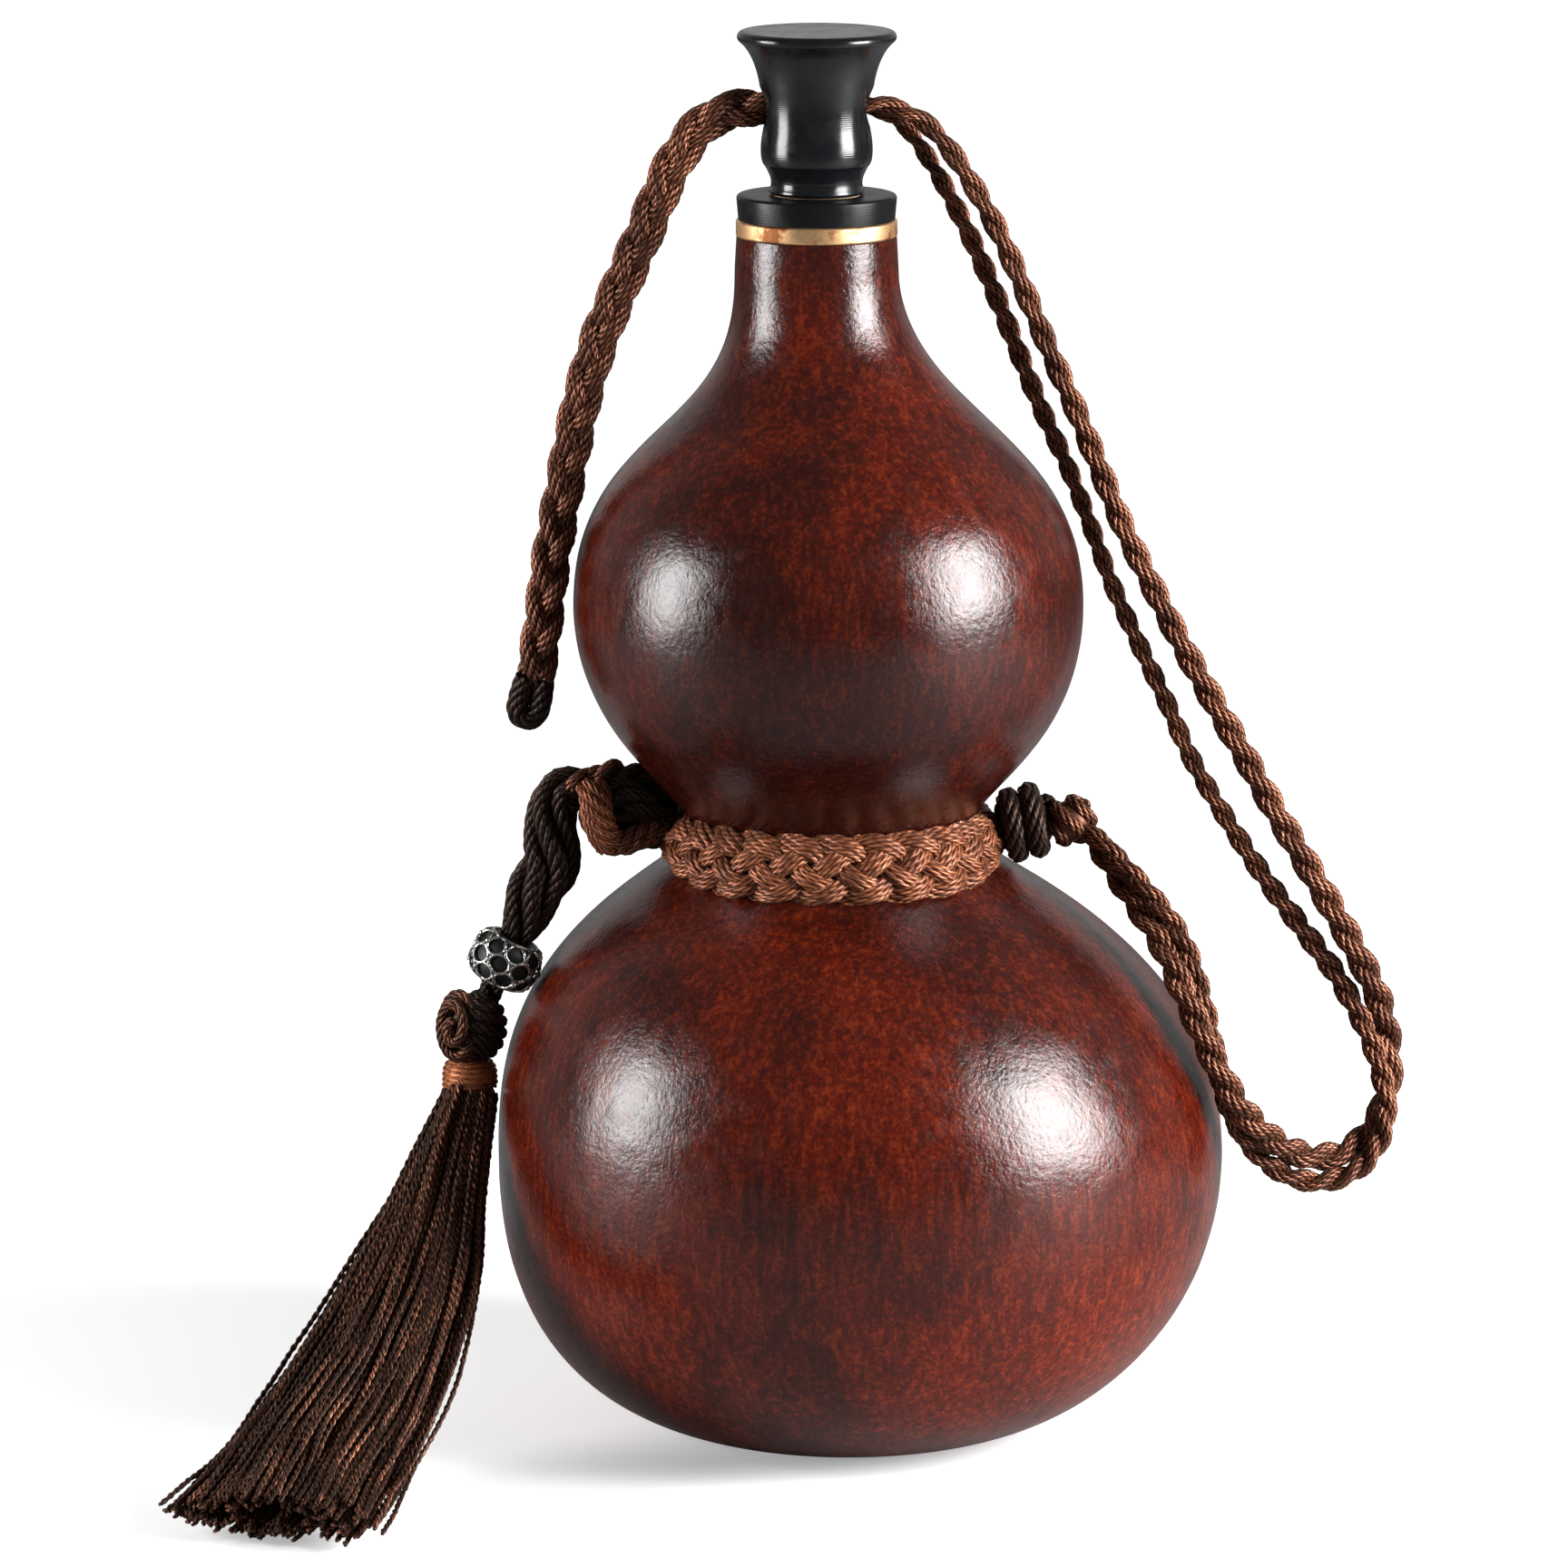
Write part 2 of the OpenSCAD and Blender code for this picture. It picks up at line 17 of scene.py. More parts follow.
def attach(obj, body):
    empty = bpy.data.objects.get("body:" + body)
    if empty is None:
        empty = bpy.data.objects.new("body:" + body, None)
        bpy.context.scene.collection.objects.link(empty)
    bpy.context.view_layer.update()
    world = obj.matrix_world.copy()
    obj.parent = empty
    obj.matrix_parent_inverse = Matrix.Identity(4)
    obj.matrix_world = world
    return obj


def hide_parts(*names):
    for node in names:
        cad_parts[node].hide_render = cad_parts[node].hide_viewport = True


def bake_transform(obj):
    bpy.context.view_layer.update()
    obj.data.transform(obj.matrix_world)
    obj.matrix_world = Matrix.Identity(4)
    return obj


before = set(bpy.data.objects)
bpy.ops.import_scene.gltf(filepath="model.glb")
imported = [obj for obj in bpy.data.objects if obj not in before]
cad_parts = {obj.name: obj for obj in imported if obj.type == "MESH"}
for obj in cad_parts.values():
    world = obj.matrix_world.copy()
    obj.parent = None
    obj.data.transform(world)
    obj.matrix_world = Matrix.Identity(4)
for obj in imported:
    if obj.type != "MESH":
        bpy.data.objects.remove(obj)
MM = 0.001
FULL_TURN = 2 * math.pi
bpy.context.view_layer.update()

# %% [markdown]
# ## Small helpers for node trees
# Every node tree here is written in code. One helper places a node, sets it and links what it is given. A
# few more write a sum, a product or a change of range on one line, so that a tree reads like a formula.

# %% Helpers for node trees
GEOMETRY, MATERIAL, SWITCH = "NodeSocketGeometry", "NodeSocketMaterial", "NodeSocketBool"
FLOAT, WHOLE, VECTOR, COLOUR = "NodeSocketFloat", "NodeSocketInt", "NodeSocketVector", "NodeSocketColor"


def put(tree, kind, inputs=None, **settings):
    node = tree.nodes.new(kind)
    for name, value in settings.items():
        setattr(node, name, value)
    for key, value in (inputs or {}).items():
        if isinstance(value, bpy.types.NodeSocket):
            tree.links.new(value, node.inputs[key])
        else:
            node.inputs[key].default_value = value
    return node


def calc(tree, operation, a, b=0.0, c=0.0):
    return put(tree, "ShaderNodeMath", {0: a, 1: b, 2: c}, operation=operation).outputs[0]


def total(tree, *terms):
    return reduce(lambda a, b: calc(tree, "ADD", a, b), terms)


def product(tree, *factors):
    return reduce(lambda a, b: calc(tree, "MULTIPLY", a, b), factors)


def span(tree, value, low, high, to_low=0.0, to_high=1.0):
    return put(tree, "ShaderNodeMapRange", {"Value": value, "From Min": low, "From Max": high,
                                            "To Min": to_low, "To Max": to_high}).outputs[0]


def vector(tree, operation, a, b=(0.0, 0.0, 0.0)):
    node = put(tree, "ShaderNodeVectorMath", {0: a, 1: b}, operation=operation)
    return node.outputs["Value" if operation in ("DOT_PRODUCT", "LENGTH") else "Vector"]


def scaled(tree, a, factor):
    return put(tree, "ShaderNodeVectorMath", {0: a, "Scale": factor}, operation="SCALE").outputs[0]


def parts_of(tree, value):
    return put(tree, "ShaderNodeSeparateXYZ", {0: value}).outputs


def from_parts(tree, x=0.0, y=0.0, z=0.0):
    return put(tree, "ShaderNodeCombineXYZ", {0: x, 1: y, 2: z}).outputs[0]


def feed(tree, node, **sockets):
    """Links finished values to a node's inputs, which are named with _ for a space."""
    for key, value in sockets.items():
        tree.links.new(value, node.inputs[key.replace("_", " ")])


# %% Helpers for new trees, materials and objects


def new_tree(name, kind, inputs, outputs):
    tree = bpy.data.node_groups.new(name, kind)
    for title, socket_type, value in inputs:
        socket = tree.interface.new_socket(title, in_out="INPUT", socket_type=socket_type)
        if value is not None:
            socket.default_value = value
    for title, socket_type in outputs:
        tree.interface.new_socket(title, in_out="OUTPUT", socket_type=socket_type)
    given = tree.nodes.new("NodeGroupInput")
    return tree, given.outputs, tree.nodes.new("NodeGroupOutput")


def new_material(name, **sockets):
    material = bpy.data.materials.new(name)
    material.use_nodes = True
    shader = material.node_tree.nodes["Principled BSDF"]
    for key, value in sockets.items():
        shader.inputs[key.replace("_", " ")].default_value = value
    return material, material.node_tree, shader


def add_object(name, data):
    thing = bpy.data.objects.new(name, data)
    bpy.context.scene.collection.objects.link(thing)
    return thing


print("helpers ready")

# %% [markdown]
# ## Camera
# The photograph looks slightly down on the bottle from far away, so its outlines hardly converge. A long
# lens at 1.4 m gives the same ellipses at the mouth and the foot. The target is the middle of the frame.

# %% Camera
CAMERA_AT = Vector((-0.0129, -1.400, 0.385))
LOOKS_AT = Vector((-0.0129, 0.0, 0.110))
VIEW_ANGLE = math.radians(10.518)


def aim(thing, at, target):
    thing.location = at
    thing.rotation_euler = (Vector(target) - Vector(at)).to_track_quat("-Z", "Y").to_euler()


def add_camera():
    data = bpy.data.cameras.new("photo_camera")
    data.sensor_fit = "HORIZONTAL"
    data.angle = VIEW_ANGLE
    data.clip_start = 0.05
    camera = add_object("photo_camera", data)
    aim(camera, CAMERA_AT, LOOKS_AT)
    bpy.context.scene.camera = camera
    return camera


camera = add_camera()
print("camera", [round(v, 3) for v in camera.location])

# %% [markdown]
# ## Light, world and floor
# The photograph shows two soft highlights on each bulb, one at each side, at the height of the bulb itself.
# So two square softboxes stand level with the bottle, far out to the left and right. The room in front is
# dim, which keeps the skin deep and red. The sweep behind the bottle is white, and gives the edges a pale
# sheen. The floor looks white to the camera only: what the bottle mirrors of it is grey.

# %% World and floor
SWEEP_SEEN, ROOM_LIGHT, FLOOR_SIZE = 0.96, 0.11, 12.0


def seen_by_camera(tree):
    return tree.nodes.new("ShaderNodeLightPath").outputs["Is Camera Ray"]


def add_world():
    world = bpy.data.worlds.new("white_sweep")
    world.use_nodes = True
    tree = world.node_tree
    way = tree.nodes.new("ShaderNodeTexCoord").outputs["Generated"]
    behind = span(tree, parts_of(tree, way)["Y"], 0.1, 1.0, ROOM_LIGHT, SWEEP_SEEN * 0.5)
    background = tree.nodes["Background"]
    background.inputs["Color"].default_value = (1.0, 1.0, 1.0, 1.0)
    feed(tree, background, Strength=span(tree, seen_by_camera(tree), 0.0, 1.0, behind, SWEEP_SEEN))
    bpy.context.scene.world = world


def add_floor():
    half = FLOOR_SIZE / 2
    mesh = bpy.data.meshes.new("floor")
    corners = [(-half, -half, 0), (half, -half, 0), (half, half, 0), (-half, half, 0)]
    mesh.from_pydata(corners, [], [(0, 1, 2, 3)])
    material, tree, shader = new_material("floor_white", Roughness=0.6, Specular_IOR_Level=0.2,
                                          Emission_Color=(1.0, 1.0, 1.0, 1.0))
    seen = seen_by_camera(tree)
    away = vector(tree, "LENGTH", tree.nodes.new("ShaderNodeTexCoord").outputs["Object"])
    glow = span(tree, away, 0.10, 1.3, 0.32, 0.9)
    feed(tree, shader, Base_Color=span(tree, seen, 0.0, 1.0, 0.27, 0.93),
         Emission_Strength=product(tree, glow, seen))
    mesh.materials.append(material)
    add_object("floor", mesh)


bpy.context.scene.view_settings.view_transform = "Standard"
add_world()
add_floor()
print("world and floor ready")

# %% Two softboxes
LIT_POINT = (0, 0, 0.12)


def add_softbox(name, at, width, height, watts):
    data = bpy.data.lights.new(name, "AREA")
    data.shape = "RECTANGLE"
    data.size = width
    data.size_y = height
    data.energy = watts
    aim(add_object(name, data), at, LIT_POINT)


add_softbox("left_box", (-0.76, -0.175, 0.25), 0.31, 0.40, 8.4)
add_softbox("right_box", (0.68, -0.29, 0.34), 0.38, 0.46, 18.5)
print("lights", [light.name for light in bpy.data.lights])

# %% [markdown]
# ## Smooth paths
# A cord is settled by a few given points. A curve that passes through all of them, cut into short
# equal steps, gives the cord its smooth run. The same numbers are the route of the solid in the model.

# %% Smooth paths


def smooth(points, step=0.6 * MM, closed=False):
    """Points a step apart on a Catmull-Rom curve through the given points."""
    p = np.array(points, float)
    if closed:
        p = np.vstack([p[-1], p, p[0], p[1]])
    else:
        p = np.vstack([2 * p[0] - p[1], p, 2 * p[-1] - p[-2]])
    u = np.linspace(0, 1, 24, endpoint=False)[:, None]
    pieces = []
    for a, b, c, d in zip(p[:-3], p[1:-2], p[2:-1], p[3:]):
        bend = (2 * a - 5 * b + 4 * c - d) * u**2 + (3 * b - a - 3 * c + d) * u**3
        pieces.append(0.5 * (2 * b + (c - a) * u + bend))
    dense = np.vstack(pieces + [p[1:2] if closed else p[-2:-1]])
    run = run_along(dense)
    at = np.linspace(0, run[-1], max(2, int(round(run[-1] / step)) + 1))
    even = np.stack([np.interp(at, run, dense[:, k]) for k in range(3)], axis=1)
    return even[:-1] if closed else even


def run_along(path):
    """The distance from a path's start to each of its points."""
    return np.concatenate([[0], np.cumsum(np.linalg.norm(np.diff(path, axis=0), axis=1))])


def length_of(path):
    return float(run_along(path)[-1])


def eased(u):
    """Nought to one, slow at both ends."""
    u = np.clip(u, 0, 1)
    return u * u * (3 - 2 * u)


def line_object(name, paths, radii=None, closed=False):
    """A curve object with one straight-stepped spline for each path."""
    data = bpy.data.curves.new(name, "CURVE")
    data.dimensions = "3D"
    for k, path in enumerate(paths):
        spline = data.splines.new("POLY")
        spline.points.add(len(path) - 1)
        spline.points.foreach_set("co", np.column_stack([path, np.ones(len(path))]).ravel())
        thickness = np.ones(len(path)) if radii is None else np.asarray(radii[k], float)
        spline.points.foreach_set("radius", thickness)
        spline.use_cyclic_u = closed
    return add_object(name, data)


print("paths ready")

# %% [markdown]
# ## Twisted and plaited cord
# A cord is strands laid round each other, and a plait is strands that swing from side to side. Both follow
# one formula: across the cord a strand moves with the cosine of its angle, and through the cord with the
# sine of a multiple of that angle. A multiple of one gives a twist, two gives a plait of three strands, and
# four gives a flat plait of five. A Geometry Nodes tree is the right tool, because every strand repeats the
# same path with its own start angle.

# %% Geometry Nodes: lay strands along a path


def across_and_through(tree, face):
    """Two directions square to the curve: through lies as near to face as it can."""
    tangent = tree.nodes.new("GeometryNodeInputTangent").outputs[0]
    along = scaled(tree, tangent, vector(tree, "DOT_PRODUCT", face, tangent))
    through = vector(tree, "NORMALIZE", vector(tree, "SUBTRACT", face, along))
    return vector(tree, "CROSS_PRODUCT", tangent, through), through


def lay_strands(tree, curves, count, width, depth, weave, turn, face, start=0.0):
    """Copies each curve count times and swings the copies round it."""
    copies = put(tree, "GeometryNodeDuplicateElements", {"Geometry": curves, "Amount": count},
                 domain="SPLINE")
    run = tree.nodes.new("GeometryNodeSplineParameter").outputs["Length"]
    share = total(tree, calc(tree, "DIVIDE", copies.outputs["Duplicate Index"], count), start)
    angle = product(tree, total(tree, share, calc(tree, "DIVIDE", run, turn)), FULL_TURN)
    across, through = across_and_through(tree, face)
    taper = tree.nodes.new("GeometryNodeInputRadius").outputs[0]
    side = product(tree, calc(tree, "COSINE", angle), width, taper)
    deep = product(tree, calc(tree, "SINE", product(tree, angle, weave)), depth, taper)
    offset = vector(tree, "ADD", scaled(tree, across, side), scaled(tree, through, deep))
    return put(tree, "GeometryNodeSetPosition", {"Geometry": copies.outputs[0], "Offset": offset}).outputs[0]


# %% Geometry Nodes: give strands a round skin


def keep_value(tree, geometry, title, value):
    """Stores a value on a geometry, and gives the geometry and the stored value."""
    kept = put(tree, "GeometryNodeCaptureAttribute", {"Geometry": geometry})
    kept.capture_items.new("FLOAT", title)
    tree.links.new(value, kept.inputs[title])
    return kept.outputs[0], kept.outputs[title]


def round_strands(tree, curves, radius, sides, material, caps=True, shift=0.0):
    """Gives each curve a round skin, with its angle and its run plus shift kept as the attribute lay."""
    spline = tree.nodes.new("GeometryNodeSplineParameter")
    curves, run = keep_value(tree, curves, "Run", total(tree, spline.outputs["Length"], shift))
    ring = put(tree, "GeometryNodeCurvePrimitiveCircle", {"Resolution": sides, "Radius": 1.0}).outputs[0]
    ring, share = keep_value(tree, ring, "Share", spline.outputs["Factor"])
    taper = tree.nodes.new("GeometryNodeInputRadius").outputs[0]
    skin = put(tree, "GeometryNodeCurveToMesh", {"Curve": curves, "Profile Curve": ring, "Fill Caps": caps,
                                                "Scale": product(tree, radius, taper)})
    angle = product(tree, share, FULL_TURN)
    lay = from_parts(tree, calc(tree, "COSINE", angle), calc(tree, "SINE", angle), run)
    named = put(tree, "GeometryNodeStoreNamedAttribute",
                {"Geometry": skin.outputs[0], "Name": "lay", "Value": lay},
                data_type="FLOAT_VECTOR", domain="POINT")
    real = put(tree, "GeometryNodeRealizeInstances", {"Geometry": named.outputs[0]})
    rounded = put(tree, "GeometryNodeSetShadeSmooth", {"Geometry": real.outputs[0]})
    coated = put(tree, "GeometryNodeSetMaterial", {"Geometry": rounded.outputs[0], "Material": material})
    return coated.outputs[0]


# %% Geometry Nodes: the laid cord
CORD_INPUTS = [("Geometry", GEOMETRY, None), ("Strands", WHOLE, 2), ("Lay width", FLOAT, 0.001),
               ("Lay depth", FLOAT, 0.001), ("Weave", FLOAT, 1.0), ("Turn length", FLOAT, 0.01),
               ("Plies", WHOLE, 1), ("Ply lay", FLOAT, 0.0), ("Ply turn", FLOAT, 0.006),
               ("Strand radius", FLOAT, 0.001), ("Start turn", FLOAT, 0.0), ("Caps", SWITCH, True),
               ("Sides", WHOLE, 10), ("Face", VECTOR, (0.0, -1.0, 0.0)), ("Material", MATERIAL, None)]


def cord_tree():
    tree, g, result = new_tree("laid cord", "GeometryNodeTree", CORD_INPUTS, [("Geometry", GEOMETRY)])
    strands = lay_strands(tree, g["Geometry"], g["Strands"], g["Lay width"], g["Lay depth"], g["Weave"],
                          g["Turn length"], g["Face"], g["Start turn"])
    plies = lay_strands(tree, strands, g["Plies"], g["Ply lay"], g["Ply lay"], 1.0, g["Ply turn"], g["Face"])
    skin = round_strands(tree, plies, g["Strand radius"], g["Sides"], g["Material"], g["Caps"])
    feed(tree, result, Geometry=skin)
    return tree


LAID_CORD = cord_tree()


def plain_mesh(piece):
    """The mesh of a piece as its modifiers leave it."""
    graph = bpy.context.evaluated_depsgraph_get()
    mesh = bpy.data.meshes.new_from_object(piece.evaluated_get(graph), depsgraph=graph)
    mesh.name = piece.name
    return mesh


def bake(piece, tree, **values):
    """Runs a Geometry Nodes tree on a piece and turns the result into a plain mesh object."""
    modifier = piece.modifiers.new(tree.name, "NODES")
    modifier.node_group = tree
    titles = {item.name: item.identifier for item in tree.interface.items_tree if item.in_out == "INPUT"}
    for name, value in values.items():
        modifier[titles[name.replace("_", " ").capitalize()]] = value
    mesh, name = plain_mesh(piece), piece.name
    bpy.data.objects.remove(piece)
    return add_object(name, mesh)


def laid_cord(name, paths, radii=None, closed=False, **values):
    made = bake(line_object(name + "_line", paths, radii, closed), LAID_CORD, **values)
    made.name = name
    print(name, len(made.data.vertices), "points")
    return made


print("cord tree has", len(LAID_CORD.nodes), "nodes")

# %% [markdown]
# ## Silk strands
# Close up, each strand of the silky cord is itself a ring of fine plies, twisted against the strand. They
# catch the light as bright slanting glints between dark grooves. Real plies give this look better than a
# bump map can, so each strand is a ring of plies that just touch, as in a real cord.

# %% Plies of a silk strand


def silk(radius, plies=6, pitch=7.5):
    """Settings that fill a strand of the given radius with a ring of touching plies."""
    half_step = math.sin(math.pi / plies)
    ring = radius / (1 + half_step)
    return {"Plies": plies, "Ply_lay": ring, "Strand_radius": ring * half_step * 1.1,
            "Ply_turn": -pitch * radius, "Sides": 7}


def twisted_cord(name, path, sizes, strands, lay, turn, material, strand, **more):
    """Strands laid round a path. Sizes are radius factors along it, lay is how far out the strands lie."""
    radii = None if sizes is None else [sizes]
    return laid_cord(name, [path], radii, Strands=strands, Lay_width=lay, Lay_depth=lay, Turn_length=turn,
                     Material=material, **strand, **more)


def single_cord(name, path, material, strand, closed=False):
    """One strand that follows a path."""
    return laid_cord(name, [path], None, closed, Strands=1, Lay_width=0.0, Lay_depth=0.0, Material=material,
                     **strand)


print("a strand of 1.4 mm", {k: round(v, 5) for k, v in silk(1.4 * MM).items()})

# %% [markdown]
# ## Shader groups
# Three effects come back in several finishes, so each is a node group with named inputs. "yarn" draws the
# slanting threads of a twisted strand from the attribute lay, and paints the grooves dark as painted shade
# and the crests bright as painted glints. "worn spots" gives a broken mask of dirt and wear. "fine pits"
# gives the tiny leather-like height of a dried skin.

# %% Shader group: yarn


def noise_at(tree, place, scale, detail, roughness=0.5):
    return put(tree, "ShaderNodeTexNoise", {"Vector": place, "Scale": scale, "Detail": detail,
                                            "Roughness": roughness}).outputs["Fac"]


def object_place(tree, scale=None):
    """Object coordinates. A scale under one in a direction stretches a pattern that way."""
    place = tree.nodes.new("ShaderNodeTexCoord").outputs["Object"]
    return put(tree, "ShaderNodeMapping", {"Vector": place, "Scale": scale}).outputs[0] if scale else place


def mix_colour(tree, share, a, b, blend_type="MIX"):
    inputs = {0: share, 6: a, 7: b}
    return put(tree, "ShaderNodeMix", inputs, data_type="RGBA", blend_type=blend_type).outputs[2]


def bump(tree, height, distance, strength=1.0):
    inputs = {"Strength": strength, "Distance": distance, "Height": height}
    return put(tree, "ShaderNodeBump", inputs).outputs[0]


def yarn_group():
    tree, g, result = new_tree("yarn", "ShaderNodeTree", [
        ("Dark", COLOUR, (0.03, 0.012, 0.008, 1.0)), ("Bright", COLOUR, (0.4, 0.16, 0.08, 1.0)),
        ("Threads", FLOAT, 4.0), ("Twist length", FLOAT, 0.0011), ("Depth", FLOAT, 0.00005),
        ("Patch size", FLOAT, 0.005), ("Lit from", FLOAT, 0.38)],
        [("Color", COLOUR), ("Roughness", FLOAT), ("Normal", VECTOR)])
    part = parts_of(tree, put(tree, "ShaderNodeAttribute", attribute_name="lay").outputs["Vector"])
    angle = calc(tree, "ARCTAN2", part["Y"], part["X"])
    run = product(tree, calc(tree, "DIVIDE", part["Z"], g["Twist length"]), FULL_TURN)
    phase = total(tree, product(tree, angle, g["Threads"]), run)
    crest = calc(tree, "MULTIPLY_ADD", calc(tree, "SINE", phase), 0.5, 0.5)
    place = object_place(tree)
    own_place = vector(tree, "ADD", place, from_parts(tree, z=part["Z"]))
    patch = noise_at(tree, own_place, calc(tree, "DIVIDE", 1.0, g["Patch size"]), 4.0, 0.65)
    fuzz = noise_at(tree, place, 2600.0, 2.0)
    # Painted glints: random patches where the crests turn Bright. The grooves stay Dark as painted shade.
    painted_glint = calc(tree, "MULTIPLY_ADD", span(tree, patch, g["Lit from"], 0.68), 0.85, 0.15)
    share = product(tree, calc(tree, "POWER", crest, 1.5), painted_glint, calc(tree, "MULTIPLY_ADD", fuzz, 0.9, 0.5))
    height = total(tree, crest, product(tree, fuzz, 0.35))
    feed(tree, result, Color=mix_colour(tree, share, g["Dark"], g["Bright"]),
         Roughness=calc(tree, "MULTIPLY_ADD", fuzz, 0.25, 0.34), Normal=bump(tree, height, g["Depth"], 0.9))
    return tree


YARN = yarn_group()
print("yarn group has", len(YARN.nodes), "nodes")

# %% Shader groups: worn spots and fine pits


def worn_spots_group():
    tree, g, result = new_tree("worn spots", "ShaderNodeTree", [
        ("Size", FLOAT, 0.003), ("Amount", FLOAT, 0.45), ("Softness", FLOAT, 0.1)], [("Mask", FLOAT)])
    spots = noise_at(tree, object_place(tree), calc(tree, "DIVIDE", 1.0, g["Size"]), 6.0, 0.62)
    edge = calc(tree, "SUBTRACT", 1.0, g["Amount"])
    feed(tree, result, Mask=span(tree, spots, calc(tree, "SUBTRACT", edge, g["Softness"]),
                                 total(tree, edge, g["Softness"])))
    return tree


def fine_pits_group():
    tree, g, result = new_tree("fine pits", "ShaderNodeTree", [
        ("Pit size", FLOAT, 0.0012), ("Depth", FLOAT, 0.00005)], [("Height", FLOAT), ("Normal", VECTOR)])
    place = object_place(tree)
    scale = calc(tree, "DIVIDE", 1.0, g["Pit size"])
    broad = noise_at(tree, place, product(tree, scale, 0.22), 3.0)
    height = total(tree, noise_at(tree, place, scale, 4.0, 0.6), product(tree, broad, 1.2))
    feed(tree, result, Height=height, Normal=bump(tree, height, g["Depth"]))
    return tree


WORN_SPOTS, FINE_PITS = worn_spots_group(), fine_pits_group()


def worn_mask(tree, size, amount, softness=0.1):
    return put(tree, "ShaderNodeGroup", {"Size": size, "Amount": amount, "Softness": softness},
               node_tree=WORN_SPOTS).outputs["Mask"]


print("shader groups", [g.name for g in (YARN, WORN_SPOTS, FINE_PITS)])

# %% [markdown]
# ## The gourd's skin
# The gourd is the largest surface, so its skin gets the most layers: a red-brown ground, lighter orange
# patches, darker upright streaks, fine mottling, and a polish that the fine pits break up. It is darker at
# the waist than on the bulbs, and much lighter low down, which is painted bounce light from the floor.

# %% Gourd material
DULL_RED, FRESH_RED = (0.030, 0.0042, 0.0028, 1), (0.080, 0.0068, 0.0025, 1)
ORANGE_GRAIN, DARK_GRAIN = (0.165, 0.021, 0.0045, 1), (0.016, 0.0034, 0.0026, 1)


def gourd_material():
    material, tree, shader = new_material("polished_gourd", Specular_IOR_Level=0.40, IOR=1.5)
    broad = noise_at(tree, object_place(tree, (1, 1, 0.7)), 30.0, 3.0)
    patch = noise_at(tree, object_place(tree, (1, 1, 0.5)), 110.0, 4.0, 0.6)
    streak = noise_at(tree, object_place(tree, (1, 1, 0.2)), 760.0, 4.0, 0.65)
    speck = noise_at(tree, object_place(tree), 1300.0, 3.0, 0.7)
    height = parts_of(tree, object_place(tree))["Z"]
    waist = span(tree, calc(tree, "ABSOLUTE", calc(tree, "SUBTRACT", height, 0.106)), 0.0, 0.026, 0.10, 0.0)
    bloom = total(tree, product(tree, broad, 0.55), product(tree, patch, 0.45))
    bloom = calc(tree, "SUBTRACT", bloom, waist)
    bloom = calc(tree, "SUBTRACT", bloom, span(tree, height, 0.06, 0.15, -0.02, 0.045))
    ground = mix_colour(tree, span(tree, bloom, 0.42, 0.58), DULL_RED, FRESH_RED)
    grain = product(tree, total(tree, streak, speck), 0.5)
    bright = product(tree, span(tree, grain, 0.50, 0.62), span(tree, bloom, 0.38, 0.60, 0.25, 1.0))
    warm = mix_colour(tree, bright, ground, ORANGE_GRAIN)
    grained = mix_colour(tree, span(tree, grain, 0.49, 0.38, 0.0, 0.7), warm, DARK_GRAIN)
    # Grey factor by height. Its rise below 45 mm is painted bounce light from the floor.
    level = total(tree, span(tree, height, 0.085, 0.125, 0.80, 0.60),
                  span(tree, height, 0.145, 0.175, 0.0, 0.26),
                  span(tree, height, 0.045, 0.01, 0.0, 0.95))
    pits = put(tree, "ShaderNodeGroup", {"Pit size": 0.0008, "Depth": 0.00009}, node_tree=FINE_PITS).outputs
    shade = from_parts(tree, level, level, level)
    feed(tree, shader, Base_Color=mix_colour(tree, 1.0, grained, shade, "MULTIPLY"),
         Roughness=span(tree, pits["Height"], 0.9, 1.5, 0.16, 0.31), Normal=pits["Normal"])
    return material


GOURD_SKIN = gourd_material()
print("made", GOURD_SKIN.name)

# %% [markdown]
# ## Horn, brass, silver and cork
# The fittings share one recipe: the mask of worn spots mixes a clean and a worn colour, and makes the worn
# places rougher. The black horn also has a faint mark of turning, and the cork has its cells.

# %% Materials of the fittings


def worn_material(name, clean, worn, size, amount, rough, softness=0.1, turned_mark=False, **sockets):
    """A finish that wears in spots: rough holds the roughness of the clean and of the worn places."""
    material, tree, shader = new_material(name, **sockets)
    mask = worn_mask(tree, size, amount, softness)
    feed(tree, shader, Base_Color=mix_colour(tree, mask, (*clean, 1), (*worn, 1)),
         Roughness=span(tree, mask, 0.0, 1.0, *rough))
    if turned_mark:
        inputs = {"Vector": object_place(tree), "Scale": 900.0, "Distortion": 0.6}
        wave = put(tree, "ShaderNodeTexWave", inputs, bands_direction="Z")
        feed(tree, shader, Normal=bump(tree, wave.outputs["Fac"], 0.00002, 0.25))
    return material


def horn_material(name, face, smoothest, specular):
    clean = (face, face * 1.12, face * 1.3)
    worn = (face * 1.5, face * 1.7, face * 1.9)
    return worn_material(name, clean, worn, 0.004, 0.42, (smoothest, smoothest + 0.1), turned_mark=True,
                         Specular_IOR_Level=specular)


def cork_material():
    material, tree, shader = new_material("natural_cork", Roughness=0.85)
    cells = put(tree, "ShaderNodeTexVoronoi", {"Vector": object_place(tree), "Scale": 700.0})
    grains = span(tree, noise_at(tree, object_place(tree), 500.0, 4.0), 0.4, 0.65)
    feed(tree, shader, Base_Color=mix_colour(tree, grains, (0.55, 0.36, 0.2, 1), (0.3, 0.17, 0.09, 1)),
         Normal=bump(tree, cells.outputs["Distance"], 0.0001, 0.5))
    return material


